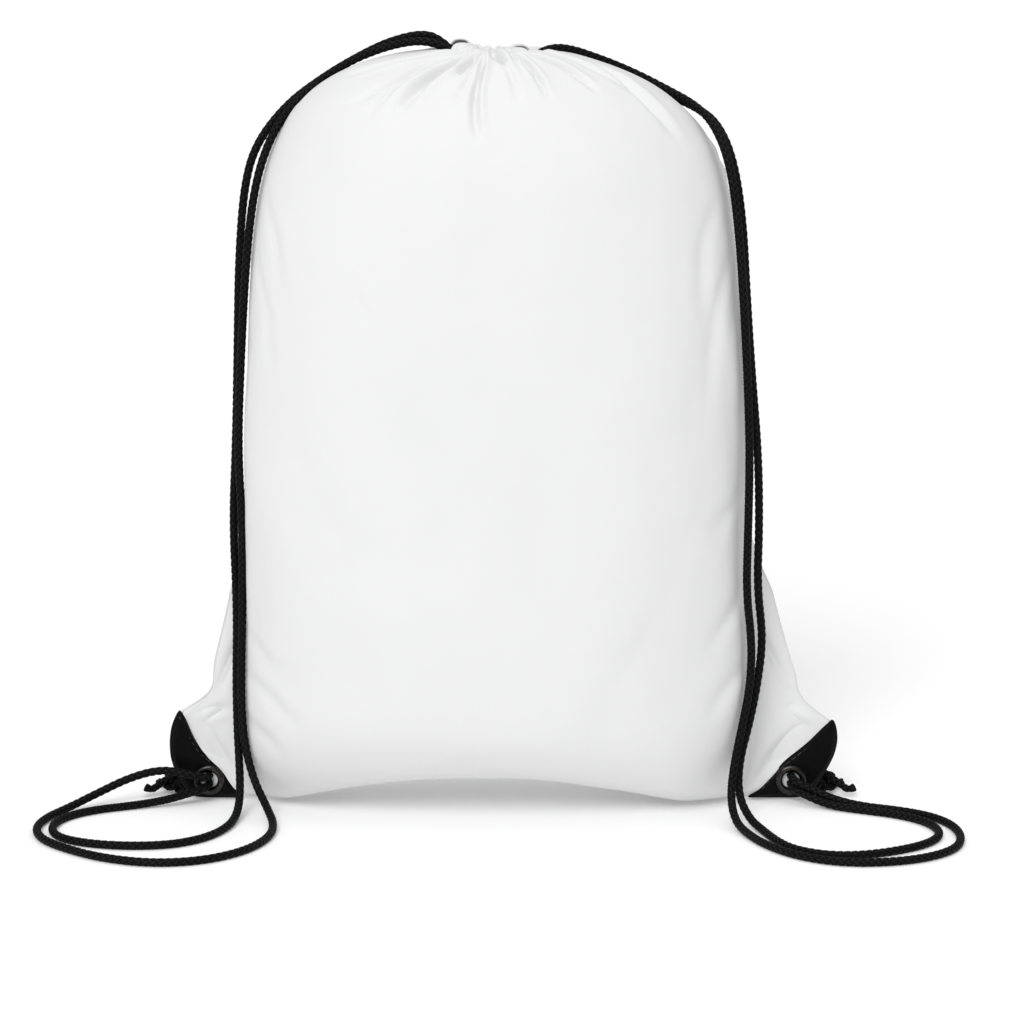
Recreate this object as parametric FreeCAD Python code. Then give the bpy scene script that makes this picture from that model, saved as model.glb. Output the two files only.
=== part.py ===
import FreeCAD, Part
import math
import os

# A drawstring backpack, stuffed full and standing, with its mouth drawn shut.
# Millimetres, +Z up, the front towards -Y. The origin is at the middle of the base.

Vector = FreeCAD.Vector

# The bag: two cloth panels that meet at the plane y = 0.
CLOTH = 1.2  # wall of a panel, cloth and its fullness
SEAM_GAP = 0.1  # from each panel's edge to the seam plane
BODY_ROWS = [  # height, half width, half depth, squareness of the section
    (0.0, 117.5, 36.0, 2.4),
    (1.5, 123.5, 42.0, 2.4),
    (5.0, 127.5, 48.0, 2.5),
    (14.0, 130.0, 56.5, 2.5),
    (32.0, 131.0, 66.0, 2.5),
    (65.0, 130.5, 72.5, 2.5),
    (115.0, 129.5, 75.5, 2.5),
    (180.0, 128.7, 76.5, 2.5),
    (250.0, 126.3, 75.5, 2.5),
    (300.0, 122.8, 71.5, 2.4),
    (331.0, 117.0, 64.0, 2.3),
    (348.5, 107.5, 56.0, 2.2),
    (361.5, 94.0, 47.0, 2.1),
    (371.0, 80.0, 38.5, 2.0),
    (378.0, 62.0, 31.0, 2.0),
    (382.5, 42.0, 25.0, 2.0),
]
SECTION_POINTS = 40
ARCH_RISE = 14.0  # the base's middle stands this far off the ground
ARCH_HALF_SPAN = 101.0

# The unstuffed corners, flat in the seam plane. Points are (x, z) on the +X side.
EAR_LAYER = 1.2
EAR_INNER_X = 100.0  # inside the body, where the hollow cuts it back
EAR_OUTLINE = [
    (EAR_INNER_X, 121.0),
    (129.0, 121.0),
    (137.0, 110.0),
    (142.5, 95.0),
    (147.5, 78.0),
    (152.0, 60.5),
    (157.0, 53.0),
    (166.0, 46.5),
    (171.5, 40.0),
    (172.8, 31.0),
    (170.3, 18.8),
    (160.0, 3.2),
    (152.0, 2.2),
    (EAR_INNER_X, 2.2),
]

# The reinforcement folded round each corner.
PATCH_HALF = 2.6  # half of its folded thickness
PATCH_SLOT_ROOM = 0.1  # from the ear to the patch's inside
PATCH_OUTLINE = [
    (165.0, 47.4),
    (167.5, 47.8),
    (173.0, 41.2),
    (174.3, 31.2),
    (172.0, 18.0),
    (160.8, 1.4),
    (152.0, 0.8),
    (131.5, 0.8),
    (140.5, 14.0),
    (151.0, 27.5),
    (159.0, 38.5),
]

# The metal eyelet and its washer.
EYELET_X = 152.0
EYELET_Z = 11.0
EYELET_BORE = 4.5
EYELET_BARREL = 5.3
EYELET_FLANGE = 8.0
EYELET_METAL = 0.8
EYELET_HOLE = 5.5  # the hole through patch and cloth
RIM_RADIUS = 6.6  # the barrel's end, rolled over the washer
RIM_GAP = 0.1

# The cord channels: a ring of tunnel round the drawn mouth, open at both sides.
MOUTH_X = -4.5  # the mouth is gathered a little towards -X
CHANNEL_OUTER = 21.5
CHANNEL_INNER = 10.5
CHANNEL_BOTTOM = 374.5
CHANNEL_TOP = 393.2
CHANNEL_WALL = 1.25
CHANNEL_SIDE_ANGLE = 22.0  # half of each side opening, in degrees
NECK_HOLE = 21.7

# The sewn edges inside the bag.
SEAM_WIDTH = 8.0
SEAM_THICK = 1.2
SEAM_ROOM = 0.6
SIDE_SEAM_FROM = 120.0
SIDE_SEAM_TO = 345.0
BOTTOM_SEAM_HALF = 98.0

# Stitches.
THREAD = 0.6
STITCH = 2.6
STITCH_PITCH = 3.7
STITCH_INSET = 2.0  # from the patch's slanting edge
CHANNEL_STITCHES = 12
CHANNEL_STITCH_Z = 376.5

# The cords.
CORD = 4.0
RING_RADIUS = 16.5
RING_STEP = 30
LEFT_RING_Z = 389.2
RIGHT_RING_Z = 384.2
CHANNEL_EXIT_X = 17.5
CHANNEL_EXIT_Y = 2.8

# Each strand runs from its knot through the eyelet, over the ground and up to the channel.
LEFT_FRONT_STRAND = [
    (-161.5, 10.2, 10.2),
    (-152.0, 9.8, 13.1),
    (-152.0, -9.3, 13.1),
    (-162.5, -10.2, 16.5),
    (-176.0, -9.0, 18.6),
    (-192.0, -9.5, 14.5),
    (-208.0, -14.0, 7.6),
    (-222.0, -25.0, 2.8),
    (-232.0, -42.0, 2.1),
    (-235.0, -61.0, 2.1),
    (-229.0, -80.0, 2.1),
    (-215.0, -96.0, 2.1),
    (-195.0, -112.0, 2.1),
    (-170.0, -121.0, 2.1),
    (-146.0, -117.0, 2.1),
    (-127.0, -102.0, 2.1),
    (-116.0, -80.0, 2.1),
    (-114.0, -57.0, 2.1),
    (-119.0, -37.0, 5.5),
    (-127.0, -26.0, 18.0),
    (-132.6, -18.0, 38.0),
    (-133.6, -13.5, 66.0),
    (-132.2, -12.5, 104.0),
    (-131.6, -12.5, 150.0),
    (-133.4, -12.0, 188.0),
    (-132.4, -13.0, 236.0),
    (-129.8, -18.0, 284.0),
    (-125.6, -19.0, 321.0),
    (-117.5, -10.0, 346.5),
    (-106.0, 1.5, 361.8),
    (-90.0, 8.5, 374.4),
    (-74.5, 8.5, 383.6),
    (-61.0, 4.5, 389.2),
    (-50.0, 0.5, 392.4),
    (-40.0, -2.6, 393.9),
    (-31.5, -3.4, 392.6),
]
LEFT_BACK_STRAND = [
    (-161.5, 10.2, 5.9),
    (-152.0, 9.8, 8.9),
    (-152.0, -9.3, 8.9),
    (-162.5, -11.5, 6.0),
    (-175.0, -14.5, 3.2),
    (-190.0, -19.5, 2.1),
    (-206.0, -26.0, 2.1),
    (-219.0, -36.0, 2.1),
    (-226.0, -49.0, 2.1),
    (-226.5, -64.0, 2.1),
    (-220.0, -78.0, 2.1),
    (-206.0, -87.0, 2.1),
    (-186.0, -92.0, 2.1),
    (-164.0, -90.0, 2.1),
    (-148.0, -79.0, 2.1),
    (-138.6, -62.0, 2.1),
    (-134.8, -44.0, 2.6),
    (-133.8, -29.0, 7.5),
    (-134.4, -18.5, 19.0),
    (-135.8, -13.0, 39.0),
    (-136.4, -9.0, 66.0),
    (-135.4, -7.5, 104.0),
    (-137.0, -6.5, 150.0),
    (-134.8, -5.5, 190.0),
    (-133.2, -5.0, 240.0),
    (-132.0, -4.5, 284.0),
    (-128.8, -3.0, 322.0),
    (-122.6, 1.5, 342.8),
    (-107.5, 8.5, 361.6),
    (-91.0, 13.5, 373.6),
    (-75.5, 14.0, 383.0),
    (-60.5, 9.5, 390.8),
    (-50.0, 6.0, 394.6),
    (-40.0, 4.0, 396.8),
    (-32.0, 3.6, 395.6),
]
RIGHT_FRONT_STRAND = [
    (161.5, 10.2, 10.2),
    (152.0, 9.8, 13.1),
    (152.0, -9.3, 13.1),
    (161.0, -13.0, 9.5),
    (172.0, -17.0, 5.0),
    (187.0, -21.5, 2.3),
    (205.0, -28.0, 2.1),
    (221.0, -39.0, 2.1),
    (230.0, -55.0, 2.1),
    (232.0, -75.0, 2.1),
    (227.0, -95.0, 2.1),
    (213.0, -110.0, 2.1),
    (192.0, -119.0, 2.1),
    (168.0, -120.0, 2.1),
    (147.0, -109.0, 2.1),
    (133.0, -91.0, 2.1),
    (125.0, -72.0, 2.1),
    (119.5, -56.0, 4.0),
    (117.5, -46.0, 14.0),
    (119.5, -41.0, 30.0),
    (124.0, -36.5, 50.0),
    (128.0, -31.5, 70.0),
    (128.5, -31.0, 92.0),
    (125.0, -35.0, 118.0),
    (125.5, -34.5, 148.0),
    (126.0, -33.5, 186.0),
    (124.3, -34.0, 228.0),
    (121.6, -33.5, 270.0),
    (118.8, -29.5, 306.0),
    (114.5, -22.5, 336.0),
    (107.0, -9.5, 354.0),
    (97.5, 4.0, 362.2),
    (85.5, 13.5, 368.2),
    (72.5, 17.0, 374.8),
    (59.5, 16.5, 380.6),
    (47.5, 13.5, 385.2),
    (37.5, 8.0, 388.8),
    (29.0, 2.0, 390.4),
    (21.5, -2.0, 388.8),
]
RIGHT_BACK_STRAND = [
    (161.5, 10.2, 5.9),
    (152.0, 9.8, 8.9),
    (152.0, -9.3, 8.9),
    (160.5, -14.5, 5.2),
    (171.5, -21.0, 2.4),
    (187.0, -28.0, 2.1),
    (202.0, -35.0, 2.1),
    (214.0, -45.0, 2.1),
    (221.0, -58.0, 2.1),
    (221.5, -73.0, 2.1),
    (214.0, -87.0, 2.1),
    (200.0, -98.0, 2.1),
    (181.0, -107.0, 2.1),
    (162.0, -108.0, 2.1),
    (146.0, -98.0, 2.1),
    (138.0, -82.0, 2.1),
    (133.0, -65.0, 2.1),
    (127.0, -50.0, 3.8),
    (121.8, -41.0, 14.0),
    (122.5, -35.0, 30.0),
    (127.8, -30.5, 49.0),
    (132.0, -25.5, 68.0),
    (134.8, -23.0, 92.0),
    (131.0, -27.0, 120.0),
    (131.8, -26.0, 150.0),
    (130.8, -26.5, 187.0),
    (126.8, -28.0, 228.0),
    (123.6, -27.5, 270.0),
    (121.4, -23.0, 308.0),
    (116.8, -16.0, 336.5),
    (109.5, -4.0, 353.0),
    (99.5, 9.5, 360.0),
    (87.0, 19.0, 364.8),
    (73.5, 22.8, 371.0),
    (60.5, 22.5, 376.6),
    (48.5, 19.5, 381.2),
    (38.5, 14.5, 385.0),
    (30.0, 9.0, 387.6),
    (22.0, 4.4, 387.4),
]

# The knot behind each eyelet, on the +X side.
KNOT = Vector(170.5, 11.5, 6.6)
KNOT_AXIS = Vector(0.97, 0.24, 0)  # it slides this way, off the eyelet
KNOT_HALF_LENGTH = 7.5
KNOT_HALF_WIDTH = 6.1
KNOT_PROFILE = [14, 35, 55, 72, 90, 108, 125, 145, 166]  # degrees round its ellipse
TAILS = [(Vector(0.93, -0.2, 0.12), 12.0), (Vector(0.62, 0.7, -0.05), 11.0)]  # direction and length


def prism(outline, half):
    """A solid on an (x, z) outline, from y = -half to y = half."""
    points = [Vector(x, -half, z) for x, z in outline]
    face = Part.Face(Part.makePolygon(points + points[:1]))
    return face.extrude(Vector(0, 2 * half, 0))


def across(radius, x, z, start_y, end_y):
    """A cylinder along Y between two planes."""
    return Part.makeCylinder(radius, end_y - start_y, Vector(x, start_y, z), Vector(0, 1, 0))


def disc_with_hole(outer, hole, start_y, end_y):
    disc = across(outer, EYELET_X, EYELET_Z, start_y, end_y)
    return disc.cut(across(hole, EYELET_X, EYELET_Z, start_y - 1, end_y + 1))


def mirrored(shape):
    return shape.mirror(Vector(0, 0, 0), Vector(1, 0, 0))


def signed_power(value, power):
    return math.copysign(abs(value) ** power, value)


def section(height, half_width, half_depth, squareness):
    """One closed level section of the stuffed body, a superellipse."""
    points = []
    for i in range(SECTION_POINTS):
        angle = 2 * math.pi * i / SECTION_POINTS
        x = half_width * signed_power(math.cos(angle), 2 / squareness)
        y = half_depth * signed_power(math.sin(angle), 2 / squareness)
        points.append(Vector(x, y, height))
    curve = Part.BSplineCurve()
    curve.interpolate(Points=points, PeriodicFlag=True)
    return Part.Wire(curve.toShape())


def stuffed_body(inset):
    """The body's closed form, drawn in by a wall's thickness when inset isn't 0."""
    top = BODY_ROWS[-1][0]
    rows = []
    for height, half_width, half_depth, squareness in BODY_ROWS:
        level = inset + height * (top - 2 * inset) / top
        rows.append(section(level, half_width - inset, half_depth - inset, squareness))
    arch_radius = (ARCH_HALF_SPAN**2 + ARCH_RISE**2) / (2 * ARCH_RISE)
    axis_point = Vector(0, -200, ARCH_RISE - arch_radius)
    arch = Part.makeCylinder(arch_radius + inset, 400, axis_point, Vector(0, 1, 0))
    return Part.makeLoft(rows, True, False).cut(arch)


def bag_panels():
    """The front and back panels, each with its layer of both flat corners."""
    hollow = stuffed_body(CLOTH)
    mouth = Part.makeCylinder(NECK_HOLE, 60, Vector(MOUTH_X, 0, CHANNEL_BOTTOM - 20))
    shell = stuffed_body(0).cut(hollow).cut(mouth)
    panels = []
    for side in (-1, 1):
        near = side * SEAM_GAP
        corner = Vector(-200, min(near, side * 100), -1)
        panel = shell.common(Part.makeBox(400, 100 - SEAM_GAP, 450, corner))
        ear = prism(EAR_OUTLINE, EAR_LAYER / 2)
        ear.translate(Vector(0, side * (SEAM_GAP + EAR_LAYER / 2), 0))
        ear = ear.cut(across(EYELET_HOLE, EYELET_X, EYELET_Z, -10, 10)).cut(hollow)
        panels.append(panel.fuse([ear, mirrored(ear)]).removeSplitter())
    return panels


def channel_face(wall):
    """The channel's cross-section, drawn in by a wall's thickness."""
    width = CHANNEL_OUTER - CHANNEL_INNER - 2 * wall
    height = CHANNEL_TOP - CHANNEL_BOTTOM - 2 * wall
    corner = Vector(CHANNEL_INNER + wall, 0, CHANNEL_BOTTOM + wall)
    return Part.makePlane(width, height, corner, Vector(0, -1, 0), Vector(1, 0, 0))


def cord_channel(front):
    """Half of the tunnel round the mouth, a hollow rectangle turned about the Z axis."""
    face = channel_face(0).cut(channel_face(CHANNEL_WALL))
    half = face.Faces[0].revolve(Vector(0, 0, 0), Vector(0, 0, 1), 180 - 2 * CHANNEL_SIDE_ANGLE)
    half.rotate(Vector(0, 0, 0), Vector(0, 0, 1), CHANNEL_SIDE_ANGLE + (180 if front else 0))
    half.translate(Vector(MOUTH_X, 0, 0))
    return half


def corner_patch():
    ear_wire = Part.makePolygon([Vector(x, 0, z) for x, z in EAR_OUTLINE + EAR_OUTLINE[:1]])
    slot_half = SEAM_GAP + EAR_LAYER + PATCH_SLOT_ROOM
    slot = Part.Face(ear_wire.makeOffset2D(PATCH_SLOT_ROOM)).extrude(Vector(0, 2 * slot_half, 0))
    slot.translate(Vector(0, -slot_half, 0))
    hole = across(EYELET_HOLE, EYELET_X, EYELET_Z, -10, 10)
    return prism(PATCH_OUTLINE, PATCH_HALF).cut(slot).cut(hole)


def eyelet():
    """Flange at the front, barrel through the corner, and its end rolled over the washer."""
    face_y = PATCH_HALF + 0.1
    flange = disc_with_hole(EYELET_FLANGE, EYELET_BORE, -face_y - EYELET_METAL, -face_y)
    rim_start = face_y + EYELET_METAL + RIM_GAP
    barrel = disc_with_hole(EYELET_BARREL, EYELET_BORE, -face_y - EYELET_METAL, rim_start)
    rim = disc_with_hole(RIM_RADIUS, EYELET_BORE, rim_start, rim_start + EYELET_METAL / 2)
    return flange.fuse([barrel, rim]).removeSplitter()


def eyelet_washer():
    face_y = PATCH_HALF + 0.1
    return disc_with_hole(EYELET_FLANGE, EYELET_BARREL + 0.1, face_y, face_y + EYELET_METAL)


def half_width_at(height):
    """The body's half width at a height, on straight lines between its rows."""
    for low, high in zip(BODY_ROWS, BODY_ROWS[1:]):
        if low[0] <= height <= high[0]:
            share = (height - low[0]) / (high[0] - low[0])
            return low[1] + share * (high[1] - low[1])
    return BODY_ROWS[-1][1]


def side_seam():
    """The panels' side edges, turned inside the bag on the +X side."""
    levels = [SIDE_SEAM_FROM]
    levels += [row[0] for row in BODY_ROWS if SIDE_SEAM_FROM < row[0] < SIDE_SEAM_TO]
    levels += [SIDE_SEAM_TO]
    wall = CLOTH + SEAM_ROOM
    outer = [(half_width_at(level) - wall, level) for level in levels]
    inner = [(x - SEAM_WIDTH, level) for x, level in outer]
    return prism(outer + inner[::-1], SEAM_THICK / 2)


def bottom_seam():
    """The panels' bottom edges, turned up inside the bag, along the arch of the base."""
    arch_radius = (ARCH_HALF_SPAN**2 + ARCH_RISE**2) / (2 * ARCH_RISE)
    low = arch_radius + CLOTH + SEAM_ROOM
    centre = Vector(0, -SEAM_THICK / 2, ARCH_RISE - arch_radius)
    along = Vector(0, 1, 0)
    ring = Part.makeCylinder(low + SEAM_WIDTH, SEAM_THICK, centre, along)
    ring = ring.cut(Part.makeCylinder(low, SEAM_THICK, centre, along))
    return ring.common(Part.makeBox(2 * BOTTOM_SEAM_HALF, 4, 60, Vector(-BOTTOM_SEAM_HALF, -2, 0)))


def stitch(middle, direction):
    start = middle - direction * (STITCH / 2)
    return Part.makeCylinder(THREAD / 2, STITCH, start, direction)


def patch_stitching():
    """Stitches on both faces, along the patch's slanting inner edge."""
    low = Vector(PATCH_OUTLINE[7][0], 0, PATCH_OUTLINE[7][1])
    high = Vector(PATCH_OUTLINE[10][0], 0, PATCH_OUTLINE[10][1])
    direction = (high - low).normalize()
    inward = Vector(direction.z, 0, -direction.x)
    count = int((high - low).Length // STITCH_PITCH)
    stitches = []
    for i in range(2, count):
        middle = low + direction * (i * STITCH_PITCH) + inward * STITCH_INSET
        for y in (-PATCH_HALF - THREAD / 2, PATCH_HALF + THREAD / 2):
            stitches.append(stitch(middle + Vector(0, y, 0), direction))
    return Part.makeCompound(stitches)


def channel_stitching(front):
    """Stitches round the outside of one channel, just under its tunnel."""
    stitches = []
    start = CHANNEL_SIDE_ANGLE + (180 if front else 0)
    step = (180 - 2 * CHANNEL_SIDE_ANGLE) / CHANNEL_STITCHES
    radius = CHANNEL_OUTER + THREAD / 2 + 0.1
    for i in range(CHANNEL_STITCHES):
        angle = math.radians(start + (i + 0.5) * step)
        x = MOUTH_X + radius * math.cos(angle)
        middle = Vector(x, radius * math.sin(angle), CHANNEL_STITCH_Z)
        stitches.append(stitch(middle, Vector(-math.sin(angle), math.cos(angle), 0)))
    return Part.makeCompound(stitches)


def channel_ring(side, height):
    """A cord's route inside the channels, from the front of its side opening round to the back."""
    exit_x = MOUTH_X + side * CHANNEL_EXIT_X
    points = [(exit_x, -CHANNEL_EXIT_Y, height)]
    for degrees in range(180 + RING_STEP, 540, RING_STEP):
        angle = math.radians(degrees)
        x = MOUTH_X - side * RING_RADIUS * math.cos(angle)
        points.append((x, RING_RADIUS * math.sin(angle), height))
    points.append((exit_x, CHANNEL_EXIT_Y, height))
    return points


def cord(name, route):
    """A round tube along straight runs joined by tangent arcs."""
    points = [Vector(*point) for point in route]
    edges = []
    radii = []
    start = points[0]
    for before, here, after in zip(points, points[1:], points[2:]):
        run_in = here - before
        run_out = after - here
        turn = run_in.getAngle(run_out)
        reach = 0.45 * min(run_in.Length, run_out.Length)
        radius = reach / math.tan(turn / 2)
        run_in.normalize()
        run_out.normalize()
        arc_start = here - run_in * reach
        arc_end = here + run_out * reach
        middle = here + (run_out - run_in).normalize() * (radius / math.cos(turn / 2) - radius)
        edges.append(Part.LineSegment(start, arc_start).toShape())
        edges.append(Part.Arc(arc_start, middle, arc_end).toShape())
        radii.append(round(radius, 1))
        start = arc_end
    edges.append(Part.LineSegment(start, points[-1]).toShape())
    path = Part.Wire(edges)
    circle = Part.Wire(Part.makeCircle(CORD / 2, points[0], points[1] - points[0]))
    tube = path.makePipeShell([circle], True, False)
    expected = math.pi * (CORD / 2) ** 2 * path.Length
    print(name, "length", round(path.Length), "volume share", round(tube.Volume / expected, 4))
    print(name, "smallest radius", min(radii), "radii", radii)
    return tube


def knot():
    """The knot's round body, with small flat ends, and its two short tails, on the +X side."""
    points = []
    for degrees in KNOT_PROFILE:
        angle = math.radians(degrees)
        points.append(Vector(KNOT_HALF_LENGTH * math.cos(angle), KNOT_HALF_WIDTH * math.sin(angle), 0))
    curve = Part.BSplineCurve()
    curve.interpolate(Points=points)
    end = Vector(points[-1].x, 0, 0)
    start = Vector(points[0].x, 0, 0)
    outline = [
        Part.makeLine(start, points[0]),
        curve.toShape(),
        Part.makeLine(points[-1], end),
        Part.makeLine(end, start),
    ]
    body = Part.Face(Part.Wire(outline)).revolve(Vector(0, 0, 0), Vector(1, 0, 0), 360)
    body.rotate(Vector(0, 0, 0), Vector(0, 0, 1), math.degrees(math.atan2(KNOT_AXIS.y, KNOT_AXIS.x)))
    body.translate(KNOT)
    tails = [Part.makeCylinder(CORD / 2, length, KNOT, direction) for direction, length in TAILS]
    return body.fuse(tails)


def save(name, shape):
    shape.exportStep(f"parts/{name}.step")
    print(name, "valid", shape.isValid(), "solids", len(shape.Solids), "volume", round(shape.Volume))


def left_route():
    ring = channel_ring(-1, LEFT_RING_Z)
    return LEFT_FRONT_STRAND + ring + LEFT_BACK_STRAND[::-1]


def right_route():
    ring = channel_ring(1, RIGHT_RING_Z)
    return RIGHT_FRONT_STRAND + ring + RIGHT_BACK_STRAND[::-1]


def main():
    os.makedirs("parts", exist_ok=True)
    front_panel, back_panel = bag_panels()
    save("front_panel", front_panel)
    save("back_panel", back_panel)
    save("front_cord_channel", cord_channel(True))
    save("back_cord_channel", cord_channel(False))
    save("front_channel_stitching", channel_stitching(True))
    save("back_channel_stitching", channel_stitching(False))
    save("bottom_seam", bottom_seam())
    one_side = {
        "side_seam": side_seam(),
        "corner_patch": corner_patch(),
        "patch_stitching": patch_stitching(),
        "eyelet": eyelet(),
        "eyelet_washer": eyelet_washer(),
        "knot": knot(),
    }
    for name, shape in one_side.items():
        save(f"right_{name}", shape)
        save(f"left_{name}", mirrored(shape))
    save("left_cord", cord("left_cord", left_route()))
    save("right_cord", cord("right_cord", right_route()))


main()
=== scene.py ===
"""The looks of a drawstring backpack, stuffed full and drawn shut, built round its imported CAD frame.

Metres, +Z up, the front towards -Y. Tables of the bag's own shape are in millimetres and are scaled by MM.
"""

import math

import bpy
import numpy as np
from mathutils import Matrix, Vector


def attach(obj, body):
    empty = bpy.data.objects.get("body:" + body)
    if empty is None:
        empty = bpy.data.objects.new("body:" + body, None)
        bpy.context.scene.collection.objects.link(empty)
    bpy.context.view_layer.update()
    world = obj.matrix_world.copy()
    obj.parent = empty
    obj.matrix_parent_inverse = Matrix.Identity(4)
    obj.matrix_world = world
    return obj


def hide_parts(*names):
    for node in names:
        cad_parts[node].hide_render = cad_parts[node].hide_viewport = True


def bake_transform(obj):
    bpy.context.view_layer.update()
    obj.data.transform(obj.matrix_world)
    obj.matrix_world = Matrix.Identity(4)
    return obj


MM = 0.001

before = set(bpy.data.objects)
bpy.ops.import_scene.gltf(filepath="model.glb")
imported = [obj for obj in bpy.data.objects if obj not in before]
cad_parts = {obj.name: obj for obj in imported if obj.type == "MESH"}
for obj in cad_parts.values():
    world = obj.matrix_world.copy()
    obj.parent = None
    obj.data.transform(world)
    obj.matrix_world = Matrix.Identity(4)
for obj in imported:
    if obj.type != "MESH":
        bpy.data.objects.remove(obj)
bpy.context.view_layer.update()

# The camera, and the studio.
CAMERA_PLACE = (0.00629, -1.66877, 0.47753)
CAMERA_DOWN = 11.0  # degrees below the level
CAMERA_FIELD = 17.633  # degrees across

# The cloth.
COLUMNS = 120  # across one panel
LOW_ROWS = 62
NECK_ROWS = 30
NECK_REACH = 90.0  # length of cloth under the mouth that has the close rows
CLOTH_THICK = 0.9
NECK_X = -4.5
NECK_Z = 390.2
BODY = [  # height, left and right half width, half depth, squareness, left and right edge (x, z)
    (0.9, 113.9, 112.9, 0.0, 2.2, 159.6, 2.6, 160.7, 2.6),
    (0.5, 116.5, 114.9, 5.0, 2.2, 163.0, 6.2, 164.1, 7.8),
    (0.4, 120.5, 119.0, 12.0, 2.3, 168.4, 12.4, 168.6, 14.0),
    (1.7, 124.6, 123.1, 20.0, 2.4, 171.4, 19.6, 172.0, 21.2),
    (5.4, 128.0, 127.1, 30.0, 2.4, 172.0, 27.0, 175.0, 28.4),
    (15.0, 130.2, 129.5, 46.0, 2.5, 171.0, 36.0, 175.6, 36.0),
    (33.0, 131.0, 130.0, 60.5, 2.5, 167.8, 45.9, 174.2, 40.8),
    (43.0, 131.0, 130.0, 65.5, 2.5, 161.0, 50.3, 166.6, 46.0),
    (51.0, 130.8, 129.8, 68.3, 2.5, 153.2, 55.2, 159.4, 51.8),
    (58.0, 130.6, 129.6, 70.0, 2.5, 149.2, 59.5, 155.0, 57.2),
    (66.0, 130.4, 129.4, 71.5, 2.5, 148.4, 66.5, 153.8, 66.0),
    (75.0, 130.2, 129.2, 72.8, 2.5, 148.0, 75.0, 150.6, 76.0),
    (91.0, 130.0, 128.5, 74.6, 2.5, 143.9, 90.8, 146.0, 91.5),
    (104.0, 129.9, 128.3, 75.5, 2.5, 140.4, 104.0, 142.4, 104.0),
    (113.0, 129.8, 128.2, 75.9, 2.5, 138.0, 113.0, 139.4, 113.0),
    (124.6, 129.8, 128.0, 76.2, 2.5, 132.4, 124.6, 134.0, 124.6),
    (140.6, 129.8, 127.8, 76.4, 2.5, 129.8, 140.6, 128.6, 140.6),
    (202.4, 129.8, 126.9, 76.4, 2.5, 129.8, 202.4, 126.9, 202.4),
    (261.4, 128.0, 124.2, 75.0, 2.5, 128.0, 261.4, 124.2, 261.4),
    (295.4, 126.0, 121.2, 72.5, 2.4, 126.0, 295.4, 121.2, 295.4),
    (314.7, 123.6, 118.5, 69.5, 2.4, 123.6, 314.7, 118.5, 314.7),
    (329.2, 120.4, 115.4, 66.5, 2.35, 120.4, 329.2, 115.4, 329.2),
    (341.7, 115.8, 109.6, 62.5, 2.3, 115.8, 341.7, 109.6, 341.7),
    (351.2, 110.5, 102.4, 58.5, 2.25, 110.5, 351.2, 102.4, 351.2),
    (359.8, 104.1, 93.6, 54.0, 2.2, 104.1, 359.8, 93.6, 359.8),
    (367.5, 96.9, 84.4, 49.0, 2.15, 96.9, 367.5, 84.4, 367.5),
    (373.2, 89.5, 75.8, 44.5, 2.1, 89.5, 373.2, 75.8, 373.2),
    (377.9, 81.6, 66.1, 40.0, 2.05, 81.6, 377.9, 66.1, 377.9),
    (382.7, 70.9, 53.8, 34.5, 2.0, 70.9, 382.7, 53.8, 382.7),
    (386.5, 58.2, 41.0, 28.5, 2.0, 58.2, 386.5, 41.0, 386.5),
    (389.0, 44.5, 29.5, 24.0, 2.0, 44.5, 389.0, 29.5, 389.0),
    (390.1, 32.8, 22.2, 20.5, 2.0, 32.8, 390.1, 22.2, 390.1),
    (390.2, 27.0, 18.3, 18.5, 2.0, 27.0, 390.2, 18.3, 390.2),
    (389.0, 24.1, 16.3, 16.8, 2.0, 24.1, 389.0, 16.3, 389.0),
]
ARCH_MIDDLE = -8.0
ARCH_HALF_SPAN = 104.0
ARCH_RISE = 16.5
ARCH_FADE = 27.0

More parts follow.
